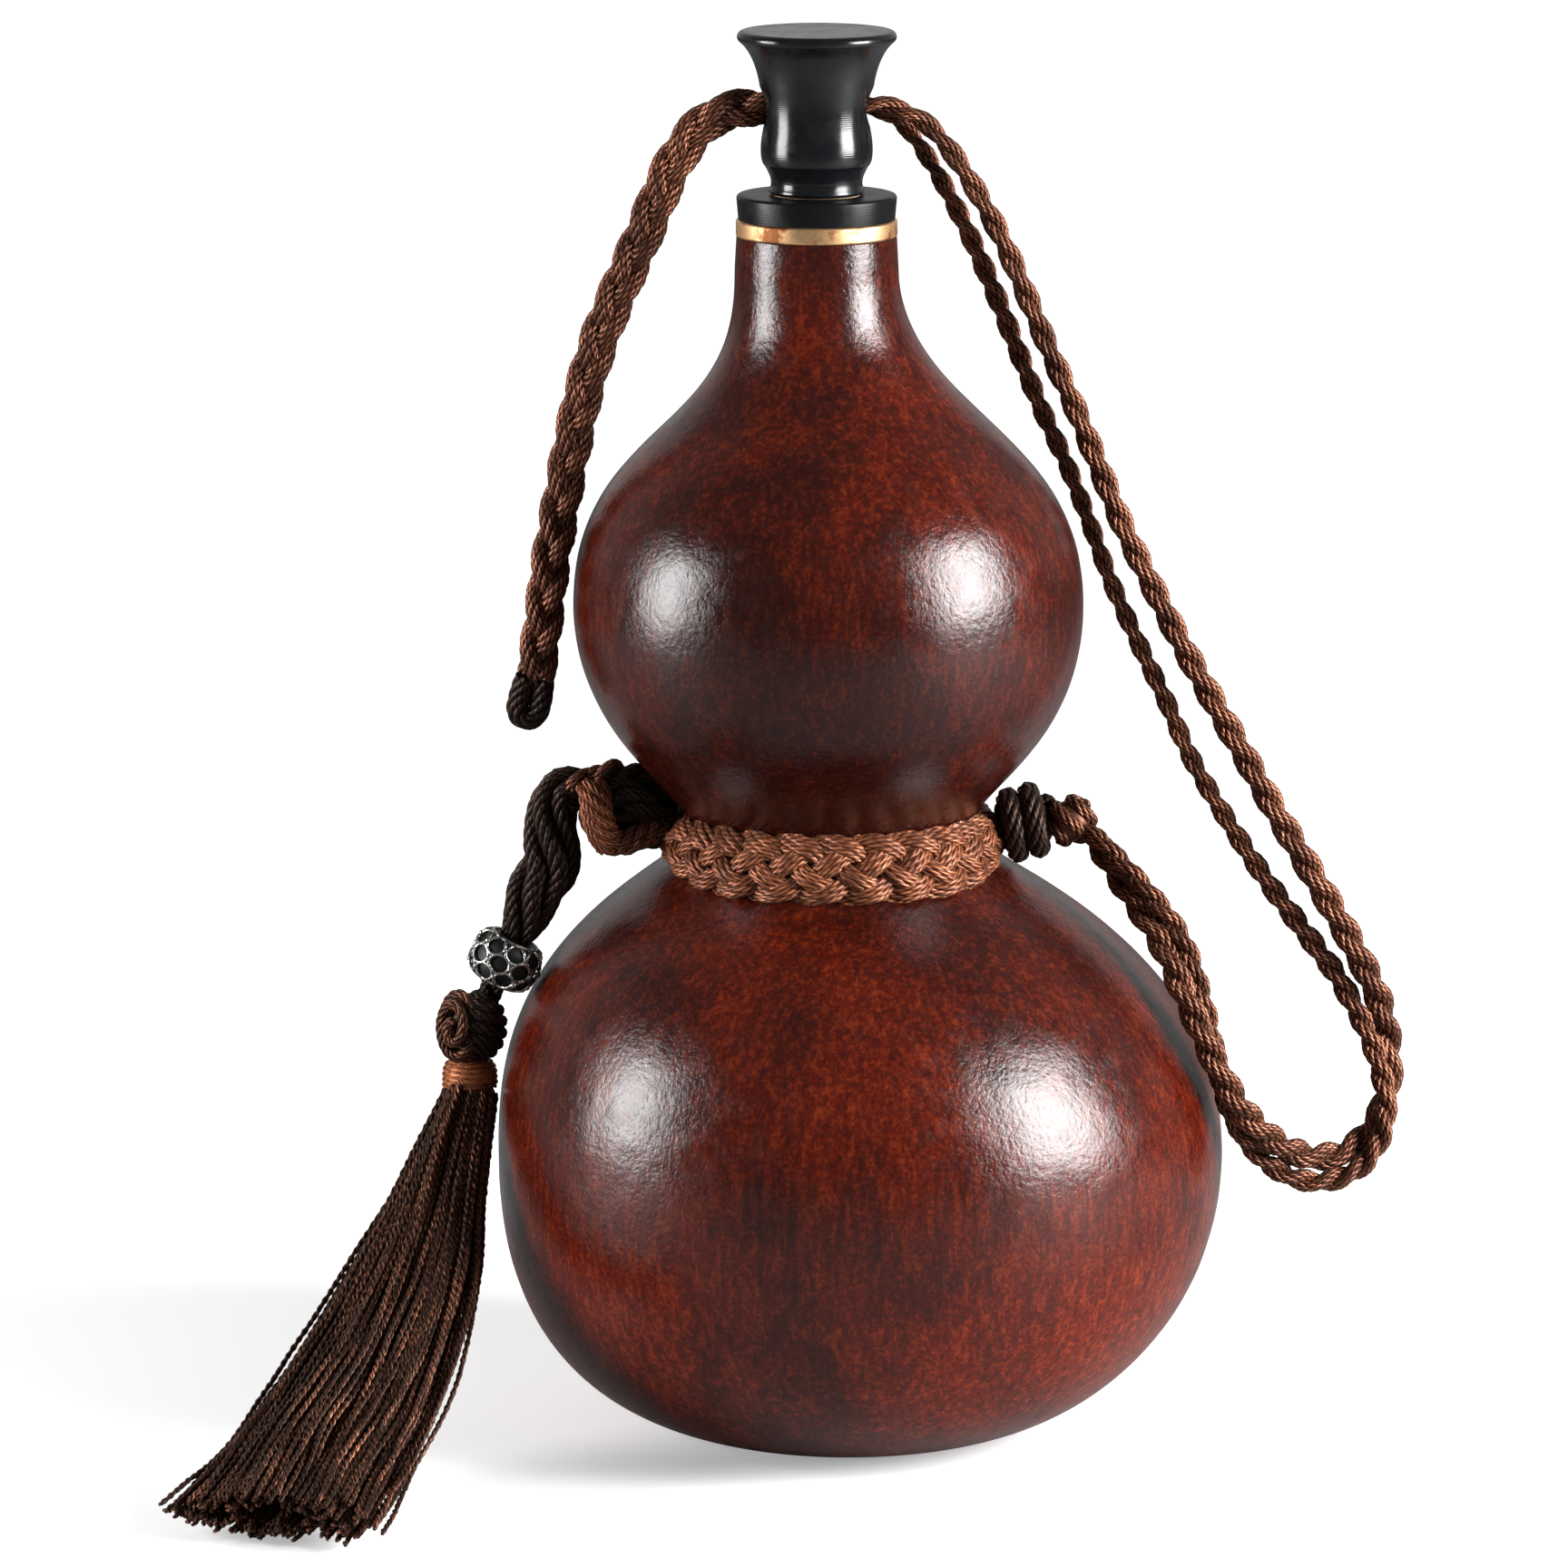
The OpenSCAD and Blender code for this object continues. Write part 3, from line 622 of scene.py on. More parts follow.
HORN = horn_material("turned_horn", 0.0045, 0.17, 0.38)
MATT_HORN = horn_material("collar_horn", 0.0038, 0.30, 0.18)
BRASS = worn_material("aged_brass", (0.95, 0.62, 0.32), (0.20, 0.075, 0.03), 0.004, 0.50, (0.34, 0.6), 0.11,
                      Metallic=1.0)
SILVER = worn_material("antique_silver", (0.62, 0.61, 0.58), (0.03, 0.03, 0.028), 0.001, 0.46, (0.2, 0.5),
                       Metallic=1.0)
# Near-black finish of the barrel inside the bead: painted shade for its hollow.
BEAD_PAINTED_SHADE = new_material("bead_shade", Base_Color=(0.012, 0.012, 0.012, 1), Metallic=0.6, Roughness=0.5)[0]
CORK = cork_material()
print("fittings", [m.name for m in (HORN, MATT_HORN, BRASS, SILVER, BEAD_PAINTED_SHADE, CORK)])

# %% [markdown]
# ## Yarns
# All cords share the yarn group with their own colours. The strap is a warm brown, the plait a brighter
# satin, and the lead and wraps nearly black. The same near-black yarn is painted shade in the left knot's
# back and core and in the tassel head's core and right side. The threads of the tassel get copper in long
# patches, which are painted glints.

# %% Materials of the yarns


def yarn_material(name, dark, bright, metal=0.72, **values):
    material, tree, shader = new_material(name, Sheen_Weight=0.08, Sheen_Roughness=0.4,
                                          Sheen_Tint=(0.9, 0.55, 0.35, 1), Metallic=metal)
    inputs = {key.replace("_", " "): value for key, value in values.items()}
    yarn = put(tree, "ShaderNodeGroup", {"Dark": (*dark, 1), "Bright": (*bright, 1), **inputs},
               node_tree=YARN).outputs
    feed(tree, shader, Base_Color=yarn["Color"], Roughness=yarn["Roughness"], Normal=yarn["Normal"])
    return material


STRAP_YARN = yarn_material("strap_yarn", (0.034, 0.010, 0.0055), (0.50, 0.19, 0.10))
# Near-black: the dark cords' own colour, and painted shade where it fills the knot and the tassel head.
DARK_AND_SHADE_YARN = yarn_material("dark_yarn", (0.008, 0.0045, 0.0035), (0.075, 0.032, 0.019))
HEAD_YARN = yarn_material("head_yarn", (0.026, 0.009, 0.005), (0.36, 0.14, 0.07))
BRAID_YARN = yarn_material("braid_yarn", (0.075, 0.018, 0.007), (0.60, 0.205, 0.085), metal=0.5,
                           Twist_length=0.0016, Depth=0.00006, Patch_size=0.0035)
BINDING_YARN = yarn_material("copper_binding", (0.24, 0.065, 0.02), (0.82, 0.30, 0.11), metal=0.5, Threads=3,
                             Twist_length=0.002, Depth=0.00015)
# The long copper patches on the tassel's threads are painted glints.
TASSEL_YARN = yarn_material("tassel_yarn", (0.012, 0.006, 0.0045), (0.50, 0.19, 0.10), Threads=2,
                            Twist_length=0.0016, Depth=0.00006, Patch_size=0.016, Lit_from=0.47)
print("materials", len(bpy.data.materials))

# %% [markdown]
# ## The strap's two legs and the plaited tail
# The strap is silky cord, two strands twisted together. A thick and a thin leg run side by side from the
# stopper's right side down to the loop. On the left the same hole lets out a loose plait that hangs free.

# %% Routes of the legs and the tail
TAIL_ROUTE = np.array([
    [-16.7, 0, 223.85], [-21, 0, 223.25], [-25.5, 0, 221.5], [-29.5, 0, 217], [-32.5, 0, 211.5],
    [-36, 0, 203], [-39.5, 0, 195], [-43, 0, 186.5], [-46, 0, 177], [-48.2, 0, 167],
    [-50, -2, 157.5], [-51.8, -4, 147.5], [-53, -4, 138], [-54.3, -3, 129]]) * MM
THICK_ROUTE = np.array([
    [2.1, -1.7, 224.45], [5.5, -1.7, 223.8], [9.5, -1.5, 222], [13.4, -1.5, 218.2],
    [17.7, -1.5, 212], [23, -1.5, 202.4], [27.2, -1.5, 192.8], [31.2, -1.5, 183.2],
    [35.6, -1.5, 173.4], [39.6, -1.5, 163.6], [43.6, -1.5, 153.8], [48.4, -1.5, 144],
    [53.4, -1.5, 134.2], [58.8, -1.5, 124.4], [64.4, -1.5, 114.6], [70, -1.5, 104.6],
    [75.8, -1.5, 94.8], [81, -1.5, 85.8], [84.4, -1, 79.3]]) * MM
THIN_ROUTE = np.array([
    [2.1, 1.9, 223.25], [5.2, 2, 221.8], [8.4, 2, 218.8], [12.8, 2, 212], [17.8, 2, 202.4],
    [22.1, 2, 192.6], [26, 2, 182.8], [30, 2, 173], [34.4, 2, 163.4], [38.2, 2, 153.6],
    [41.8, 2, 143.8], [46.2, 1.5, 134], [51, 1.5, 124], [55.4, 1.5, 114], [61.2, 1.5, 104],
    [67.4, 1.5, 94.4], [74, 1.2, 85.4], [79.8, 1, 77.6]]) * MM

# %% Thick and thin leg
THICK_TURN, THIN_TURN = 13.4 * MM, 10.6 * MM
THICK_LAY, THIN_LAY = 1.02 * MM, 0.84 * MM
THICK_STRAND, THIN_STRAND = silk(1.5 * MM), silk(1.2 * MM, 5)


def swelling(path, start_share, over):
    """A radius factor that grows from start_share to one over the first stretch of a path."""
    return start_share + (1 - start_share) * eased(np.linspace(0, length_of(path), len(path)) / over)


def varying(path, factors):
    """A radius factor that passes smoothly through values spaced evenly along a path."""
    at = np.linspace(0, len(factors) - 1, len(path))
    low = np.clip(at.astype(int), 0, len(factors) - 2)
    factors = np.array(factors)
    return factors[low] + (factors[low + 1] - factors[low]) * eased(at - low)


thick_path = smooth(np.vstack([[(-2 * MM, -1.5 * MM, 224.3 * MM)], THICK_ROUTE]))
thin_path = smooth(np.vstack([[(-2 * MM, 1.6 * MM, 223.5 * MM)], THIN_ROUTE]))
thick_sizes = varying(thick_path, [0.66, 0.78, 0.84, 0.92, 1.0])
thin_sizes = varying(thin_path, [0.72, 0.9, 0.8, 0.84, 1.0])
leg_thick = twisted_cord("twisted_leg_thick", thick_path, thick_sizes, 2, THICK_LAY, THICK_TURN, STRAP_YARN,
                         THICK_STRAND)
leg_thin = twisted_cord("twisted_leg_thin", thin_path, thin_sizes, 2, THIN_LAY, THIN_TURN, STRAP_YARN,
                        THIN_STRAND)

# %% Plaited tail
tail_path = smooth(np.vstack([[(-13.5 * MM, 0, 223.9 * MM)], TAIL_ROUTE]))
tail = laid_cord("plaited_tail", [tail_path], [swelling(tail_path, 0.82, 8 * MM)], Strands=3,
                 Lay_width=1.75 * MM, Lay_depth=1.0 * MM, Weave=2.0, Turn_length=22.5 * MM,
                 Material=STRAP_YARN, **silk(1.72 * MM, 7))

# %% [markdown]
# ## The doubled lower strap
# Below the loop both cords run side by side up to the ball button. They start where the legs end, at the
# same angle of twist, so that the joint can't be seen. Their middle line is the route of the model's solid.

# %% Doubled lower strap
LOWER_ROUTE = np.array([
    [36.6, -1.6, 103.1], [39.2, -3.4, 101.3], [41.6, -6.0, 98.6], [45.5, -10, 94.2],
    [49.6, -13, 89.2], [52.6, -15.5, 84.2], [54.6, -17, 79], [56.8, -18, 73], [59.2, -18, 66],
    [62, -16.5, 59], [66, -13.5, 52.6], [71, -10.5, 47.8], [76.6, -8, 45.6], [82.4, -6, 46.6],
    [86.6, -4, 50.6], [88.4, -2.5, 56], [88.2, -1, 62.4], [86.6, 0, 69], [84.2, 0, 74.6],
    [82.5, 0, 77.6]]) * MM
WIND_TURN, WIND_SETTLE = 95 * MM, 14 * MM


def beside(path, half_gap, start_angle, first_point):
    """One of two cords that run beside a middle line and slowly wind round it."""
    run = np.linspace(0, length_of(path), len(path))
    tangent = np.gradient(path, axis=0)
    tangent /= np.linalg.norm(tangent, axis=1)[:, None]
    face = np.array([0.0, -1.0, 0.0])
    through = face - tangent * (tangent @ face)[:, None]
    through /= np.linalg.norm(through, axis=1)[:, None]
    across = np.cross(tangent, through)
    angle = start_angle + run / WIND_TURN * FULL_TURN
    cord = path + half_gap[:, None] * (across * np.cos(angle)[:, None] + through * np.sin(angle)[:, None])
    return cord + (first_point - cord[0]) * (1 - eased(run / WIND_SETTLE))[:, None]


lower_path = smooth(LOWER_ROUTE)[::-1]
lower_run = np.linspace(0, 1, len(lower_path))
lower_gap = np.interp(lower_run, [0, 0.35, 0.6, 0.96, 1], [2.1, 2.1, 1.7, 1.6, 0.8]) * MM
thick_part = beside(lower_path, lower_gap, math.pi, THICK_ROUTE[-1])
thin_part = beside(lower_path, lower_gap, 0.0, THIN_ROUTE[-1])
lower_sizes = np.interp(lower_run, [0, 0.95, 1], [1.0, 0.96, 0.7])
thick_run = twisted_cord("doubled_strap", thick_part, lower_sizes, 2, THICK_LAY, THICK_TURN, STRAP_YARN,
                         THICK_STRAND, Start_turn=length_of(thick_path) / THICK_TURN)
thin_run = twisted_cord("thin_run", thin_part, lower_sizes, 2, THIN_LAY, THIN_TURN, STRAP_YARN, THIN_STRAND,
                        Start_turn=length_of(thin_path) / THIN_TURN)


def join(pieces, name):
    """Makes several mesh objects into one."""
    with bpy.context.temp_override(active_object=pieces[0], selected_editable_objects=pieces):
        bpy.ops.object.join()
    pieces[0].name = name
    pieces[0].data.name = name
    return pieces[0]


doubled_strap = join([thick_run, thin_run], "doubled_strap")

# %% [markdown]
# ## Windings
# The knots, the ball button and the bindings are all cord wound over a rounded core. One helper lays a
# spiral on a turned outline, one leads it over an egg from pole to pole, and one aims the result.

# %% Winding helpers


def bezier(a, b, c, d, count=10):
    a, b, c, d = (np.array(p, float) for p in (a, b, c, d))
    t = np.linspace(0, 1, count, endpoint=False)[:, None]
    return (1 - t)**3 * a + 3 * (1 - t)**2 * t * b + 3 * (1 - t) * t**2 * c + t**3 * d


def barrel_outline(d, length, end_share):
    end_r, middle_r = d / 2 * end_share, d / 2 * 1.1
    side = bezier((end_r, 0), (middle_r, length * 0.22), (middle_r, length * 0.78), (end_r, length), 24)
    return np.vstack([side, [(end_r, length)]])


def spiral(outline, turns, step=0.5 * MM):
    """A helix that climbs a turned outline of (radius, height) points."""
    t = np.linspace(0, 1, int(turns * FULL_TURN * outline[:, 0].max() / step))
    run = run_along(outline)
    radius = np.interp(t * run[-1], run, outline[:, 0])
    height = np.interp(t * run[-1], run, outline[:, 1])
    angle = t * turns * FULL_TURN
    return np.column_stack([radius * np.cos(angle), radius * np.sin(angle), height])


def frame_of(way):
    way = np.array(way, float) / np.linalg.norm(way)
    side = np.cross([0, 1, 0], way)
    side /= np.linalg.norm(side)
    return np.array([side, np.cross(way, side), way])


def aimed(points, at, way):
    """Points made along +Z, moved to a place and turned so that they run along way."""
    return np.asarray(points) @ frame_of(way) + np.array(at)


def egg_spiral(half_sizes, way, turns, step=0.4 * MM, open_pole=0.03):
    """A spiral over an egg with its poles on the line way. It leaves a little open at each pole."""
    t = np.linspace(0, 1, int(turns * 5.2 * max(half_sizes) / step))
    polar = math.pi * (open_pole + (1 - 2 * open_pole) * t)
    angle = turns * FULL_TURN * t
    ball = np.column_stack([np.sin(polar) * np.cos(angle), np.sin(polar) * np.sin(angle), np.cos(polar)])
    return (ball @ frame_of(way)) * np.array(half_sizes)


CLOSED_R = 1e-7


def turned(name, outline, columns, material, middle=None, at=(0, 0, 0), way=None, ripple=None):
    """A mesh turned from (radius, height) points. A radius of nought closes to one point."""
    outline = np.asarray(outline, float)
    angle = np.linspace(0, FULL_TURN, columns, endpoint=False)
    points, rows, faces = [], [], []
    for r, z in outline:
        x0 = middle(z) if middle else 0.0
        rows.append((len(points), 1 if r < CLOSED_R else columns))
        if r < CLOSED_R:
            points.append((x0, 0, z))
        else:
            points += [(x0 + r * c, r * s, z) for c, s in zip(np.cos(angle), np.sin(angle))]
    for (a, na), (b, nb) in zip(rows[:-1], rows[1:]):
        for j in range(columns):
            k = (j + 1) % columns
            quad = [a + j % na, a + k % na, b + k % nb, b + j % nb]
            faces.append(list(dict.fromkeys(quad)))
    points = np.array(points)
    if ripple:
        points = ripple(points)
    if way is not None:
        points = points @ frame_of(way)
    mesh = bpy.data.meshes.new(name)
    mesh.from_pydata((points + np.array(at)).tolist(), [], [f for f in faces if len(f) > 2])
    mesh.materials.append(material)
    mesh.shade_smooth()
    return add_object(name, mesh)


def egg(name, half_width, half_height, rows, columns, material, at):
    """A closed ball or upright egg."""
    polar = np.linspace(0, math.pi, rows)
    outline = np.column_stack([np.sin(polar) * half_width, -np.cos(polar) * half_height])
    return turned(name, outline, columns, material, at=at)


def soften_to_angle(piece, degrees):
    piece.data.set_sharp_from_angle(angle=math.radians(degrees))
    return piece


print("winding helpers ready")

# %% [markdown]
# ## Cord in the stopper's hole and the folded tail end
# The cords pass through the stopper side by side. The tail ends in its own cords, folded back
# on themselves, which leaves two dark lobes.

# %% Cord in the stopper and the tail's end
HOLE_ROUTE = np.array([(x, 0, 223.9) for x in (-15, -12, -7.5, -3, 0)]) * MM
hole_cord = twisted_cord("cord_through_stopper", smooth(HOLE_ROUTE), None, 3, 1.6 * MM, 26 * MM, STRAP_YARN,
                         silk(1.7 * MM))
TAIL_END_TOP, TAIL_END_FOOT = np.array([-54.4, -3, 128.6]) * MM, np.array([-56.4, -2, 120.2]) * MM
FOLD = np.array([
    [-1.5, 0, 0.2], [-1.75, 0, 2.4], [-1.85, 0, 4.6], [-1.6, 0, 6.2], [-0.7, 0, 7.2], [0.7, 0, 7.2],
    [1.6, 0, 6.2], [1.85, 0, 4.6], [1.75, 0, 2.4], [1.5, 0, 0.2]]) * MM
fold_path = aimed(smooth(FOLD, 0.4 * MM), TAIL_END_TOP, TAIL_END_FOOT - TAIL_END_TOP)
tail_end = single_cord("folded_tail_end", fold_path, DARK_AND_SHADE_YARN, silk(1.85 * MM, 7))

# %% [markdown]
# ## The gourd
# The skin follows a turned outline of four smooth quarters, from foot to belly, waist, upper bulb and neck.
# The fruit grew a little crooked, so its middle leans to the left with height. A few broad, shallow waves
# take away the look of a lathe. The wall continues inside, so the mouth shows a real hollow.

# %% Gourd outline and lean
FOOT_R, LOWER_R, LOWER_Z = 18 * MM, 61.2 * MM, 47 * MM
WAIST_R, WAIST_Z = 23.75 * MM, 102.5 * MM
UPPER_R, UPPER_Z = 42.6 * MM, 141 * MM
NECK_R, NECK_Z, NECK_TOP_R, NECK_TOP_Z = 13.6 * MM, 197 * MM, 13.3 * MM, 202.4 * MM
FOOT_LEAN, WAIST_LEAN, UPPER_LEAN, MOUTH_X = -2.2 * MM, -5.2 * MM, -5.5 * MM, -7.5 * MM


def gourd_outline(count=80):
    """Four quarters. Each pull says for how much of its rise a quarter keeps the upright way of its end."""
    quarters = [bezier((FOOT_R, 0), (FOOT_R + 0.55 * (LOWER_R - FOOT_R), 0), (LOWER_R, LOWER_Z * 0.375),
                       (LOWER_R, LOWER_Z), count)]
    for (r0, z0), (r1, z1), (first_pull, last_pull) in (
            ((LOWER_R, LOWER_Z), (WAIST_R, WAIST_Z), (0.72, 0.13)),
            ((WAIST_R, WAIST_Z), (UPPER_R, UPPER_Z), (0.19, 0.615)),
            ((UPPER_R, UPPER_Z), (NECK_R, NECK_Z), (0.52, 0.465))):
        rise = z1 - z0
        handles = (r0, z0 + first_pull * rise), (r1, z1 - last_pull * rise)
        quarters.append(bezier((r0, z0), *handles, (r1, z1), count))
    return np.vstack([*quarters, [(NECK_R, NECK_Z), (NECK_TOP_R, NECK_TOP_Z)]])


SKIN = gourd_outline()


def skin_r(z):
    return np.interp(z, SKIN[:, 1], SKIN[:, 0])


def lean(z):
    """How far left the middle of the gourd lies at a height."""
    z = np.asarray(z, float)
    low = FOOT_LEAN * (1 - eased(z / LOWER_Z))
    u = (z - LOWER_Z) / (WAIST_Z - LOWER_Z)
    waist = WAIST_LEAN * (u * u + eased(u)) / 2
    high = WAIST_LEAN + (UPPER_LEAN - WAIST_LEAN) * eased((z - WAIST_Z) / (UPPER_Z - WAIST_Z))
    start = UPPER_Z + 0.55 * (NECK_Z - UPPER_Z)
    neck = UPPER_LEAN + (MOUTH_X - UPPER_LEAN) * eased((z - start) / (NECK_Z - start))
    return np.select([z < LOWER_Z, z < WAIST_Z, z < UPPER_Z], [low, waist, high], neck)


def even_outline(points, step):
    run = run_along(points)
    at = np.linspace(0, run[-1], int(run[-1] / step) + 1)
    return np.column_stack([np.interp(at, run, points[:, k]) for k in (0, 1)])


print("gourd outline", len(SKIN), "points, height", round(float(SKIN[-1, 1]), 4))

# %% Gourd mesh
WALL, BORE_R, BORE_FLOOR = 4 * MM, 10.0 * MM, 188.4 * MM
STILL_FOOT, STILL_NECK, WAVES_SETTLE = 4 * MM, 196 * MM, 20 * MM
WAVES = [(0.28 * MM, 38), (0.05 * MM, 170)]


def grown_waves(points):
    """Broad shallow waves that leave the foot and the neck's top as they are."""
    made = points.copy()
    for k, (x, y, z) in enumerate(points):
        steady = min(1.0, max(0.0, (z - STILL_FOOT) / WAVES_SETTLE))
        steady *= min(1.0, max(0.0, (STILL_NECK - z) / WAVES_SETTLE))
        if steady > 0:
            wave = sum(size * noise.noise(Vector((x, y, z)) * pitch) for size, pitch in WAVES)
            outward = Vector((x - float(lean(z)), y, 0)).normalized()
            made[k] += np.array(outward) * wave * steady
    return made


outer = even_outline(SKIN, 1.25 * MM)
normal = np.gradient(outer, axis=0)
normal /= np.hypot(normal[:, 0], normal[:, 1])[:, None]
inner = (outer + WALL * np.column_stack([-normal[:, 1], normal[:, 0]]))[::4]
inner = inner[(inner[:, 1] < BORE_FLOOR - 1 * MM) & (inner[:, 0] > 2 * MM)][::-1]
bore_corners = [(BORE_R, NECK_TOP_Z), (BORE_R, BORE_FLOOR)]
gourd_profile = np.vstack([[(0, 0)], outer, bore_corners, inner, [(0, WALL)]])
gourd = turned("gourd_skin", gourd_profile, 224, GOURD_SKIN, middle=lambda z: float(lean(z)),
               ripple=grown_waves)
soften_to_angle(gourd, 50)
print("gourd", len(gourd.data.polygons), "faces")

# %% [markdown]
# ## Mouth fittings
# A brass ring and a black collar sit on the neck, and the stopper's stem carries a cork. They are turned
# parts, so each is one outline turned round its axis. The stopper's cord hole is cut with a Boolean.

# %% Mouth fittings


def arc(centre, r, start, end, count=8):
    a = np.radians(np.linspace(start, end, count + 1))
    return np.column_stack([centre[0] + r * np.cos(a), centre[1] + r * np.sin(a)])


def fitting(name, outline_mm, z, material, columns=128):
    piece = turned(name, np.array(outline_mm) * MM, columns, material, at=(MOUTH_X, 0, z))
    return soften_to_angle(piece, 38)


RING_Z, COLLAR_Z, STOPPER_Z, CORD_Z = 202.4 * MM, 205.3 * MM, 209.45 * MM, 223.85 * MM
ring_outline = np.vstack([
    [(10, 0)], arc((12.9, 0.5), 0.5, -90, 0), arc((12.9, 2.4), 0.5, 0, 90), [(10, 2.9), (10, 0)]])
ring = fitting("brass_band", ring_outline, RING_Z, BRASS)
collar_outline = np.vstack([
    [(7.25, -14.9), (9.1, -14.9), (9.9, -14.1), (9.9, 0), (13.0, 0)], arc((12.7, 3.5), 0.6, 0, 90),
    arc((7.85, 3.5), 0.6, 90, 180), [(7.25, -14.9)]])
collar = fitting("turned_collar", collar_outline, COLLAR_Z, MATT_HORN)
cork = fitting("cork_plug", [(4.55, 0), (6.65, 0), (7.15, 4.2), (7.15, 13.95), (4.55, 13.95), (4.55, 0)],
               STOPPER_Z - 14 * MM, CORK)
stopper_outline = np.vstack([
    [(0, -15.1), (5.7, -15.1), (5.7, -14.1), (4.5, -14.1), (4.5, 0)], arc((7.3, 0.6), 0.6, -90, 0),
    bezier((7.9, 0.6), (7.2, 2.0), (7.7, 3), (8.55, 4.6)),
    bezier((8.55, 4.6), (9.45, 5.2), (9.45, 8.0), (8.9, 10.6)),
    bezier((8.9, 10.6), (8.8, 13), (8.9, 15.5), (9.4, 17.5)),
    bezier((9.4, 17.5), (9.8, 20.7), (10.9, 23.4), (12.5, 25)),
    arc((12.2, 26), 1, -40, 90), [(11.0, 26.92), (5, 27), (0, 27)]])
stopper = fitting("turned_stopper", stopper_outline, STOPPER_Z, HORN)


def bore(piece, radius, length, at, way):
    """Cuts a round hole through a piece."""
    tool = turned("bore_tool", [(0, 0), (radius, 0), (radius, length), (0, length)], 48, HORN,
                  at=np.array(at) - np.array(way) * length / 2, way=way)
    cut = piece.modifiers.new("bore", "BOOLEAN")
    cut.object, cut.operation, cut.solver = tool, "DIFFERENCE", "EXACT"
    mesh = plain_mesh(piece)
    piece.modifiers.clear()
    piece.data = mesh
    bpy.data.objects.remove(tool)


bore(stopper, 3.6 * MM, 30 * MM, (MOUTH_X, 0, CORD_Z), (1.0, 0.0, 0.0))
soften_to_angle(stopper, 38)
print("stopper", len(stopper.data.polygons), "faces")

# %% [markdown]
# ## The waist braid
# A flat plait of five cords goes round the waist. It is made straight, where its rule is simple, and then
# wrapped: the length becomes the angle, the width becomes the height, and the depth becomes the radius.

# %% Waist braid
BAND_LOW, BAND_HIGH = 95.6 * MM, 106.6 * MM
BRAID_TURNS, BRAID_LENGTH, BRAID_WIDTH, BRAID_DEEP = 5, 190 * MM, 11.0 * MM, 2.0 * MM
GATHERED_LOW, GATHERED_HIGH, BULGE, SKIN_GAP = 2.6 * MM, 0.4 * MM, 1.5 * MM, 0.12 * MM


def band_edge(v, a):
    """The height at a share v of the braid's width and at the angle a. Both sides are gathered a little."""
    gather = np.cos(a)**6
    return (1 - v) * (BAND_LOW + GATHERED_LOW * gather) + v * (BAND_HIGH - GATHERED_HIGH * gather)


def band_out(v, a):
    """The radius of the braid's outside."""
    chord = (1 - v) * skin_r(band_edge(0, a)) + v * skin_r(band_edge(1, a)) + 1.2 * MM
    return chord + BULGE * np.sin(np.pi * np.clip(v, 0, 1))


def wrap_round_waist(piece):
    mesh = piece.data
    flat = np.empty(len(mesh.vertices) * 3)
    mesh.vertices.foreach_get("co", flat)
    x, y, z = flat.reshape(-1, 3).T
    a = x / BRAID_LENGTH * FULL_TURN + math.pi / 2
    v = np.clip(z / BRAID_WIDTH + 0.5, -0.05, 1.05)
    height = band_edge(v, a)
    radius = np.maximum(band_out(v, a) - BRAID_DEEP - 0.8 * y, skin_r(height) + SKIN_GAP)
    wrapped = np.column_stack([lean(height) + radius * np.cos(a), radius * np.sin(a), height])
    mesh.vertices.foreach_set("co", wrapped.ravel())
    mesh.update()


straight = np.column_stack([np.linspace(0, BRAID_LENGTH, 321), np.zeros(321), np.zeros(321)])
braid = laid_cord("waist_braid", [straight], None, Strands=5, Lay_width=3.75 * MM, Lay_depth=1.05 * MM,
                  Weave=4.0, Turn_length=BRAID_LENGTH / BRAID_TURNS, Caps=False, Material=BRAID_YARN,
                  **silk(1.72 * MM, 8, 20.54))
wrap_round_waist(braid)

# %% [markdown]
# ## Knots at the braid's sides
# On the left the braid's ends are wrapped into a thick knot. On the right they are bound with dark thread
# and closed by a ball button, from which the strap leaves.

# %% Left knot


def wound_piece(name, outline, core_shrink, turns, cord_r, material, at, way, plies=6):
    """A close winding over a core of the same material."""
    path = aimed(spiral(outline - [cord_r, 0], turns), at, way)
    cord = single_cord(name, path, material, silk(cord_r, plies))
    solid = np.vstack([[(0, outline[0, 1])], outline - [core_shrink, 0], [(0, outline[-1, 1])]])
    core = turned(name + "_core", solid, 40, material, at=at, way=way)
    return join([cord, core], name)


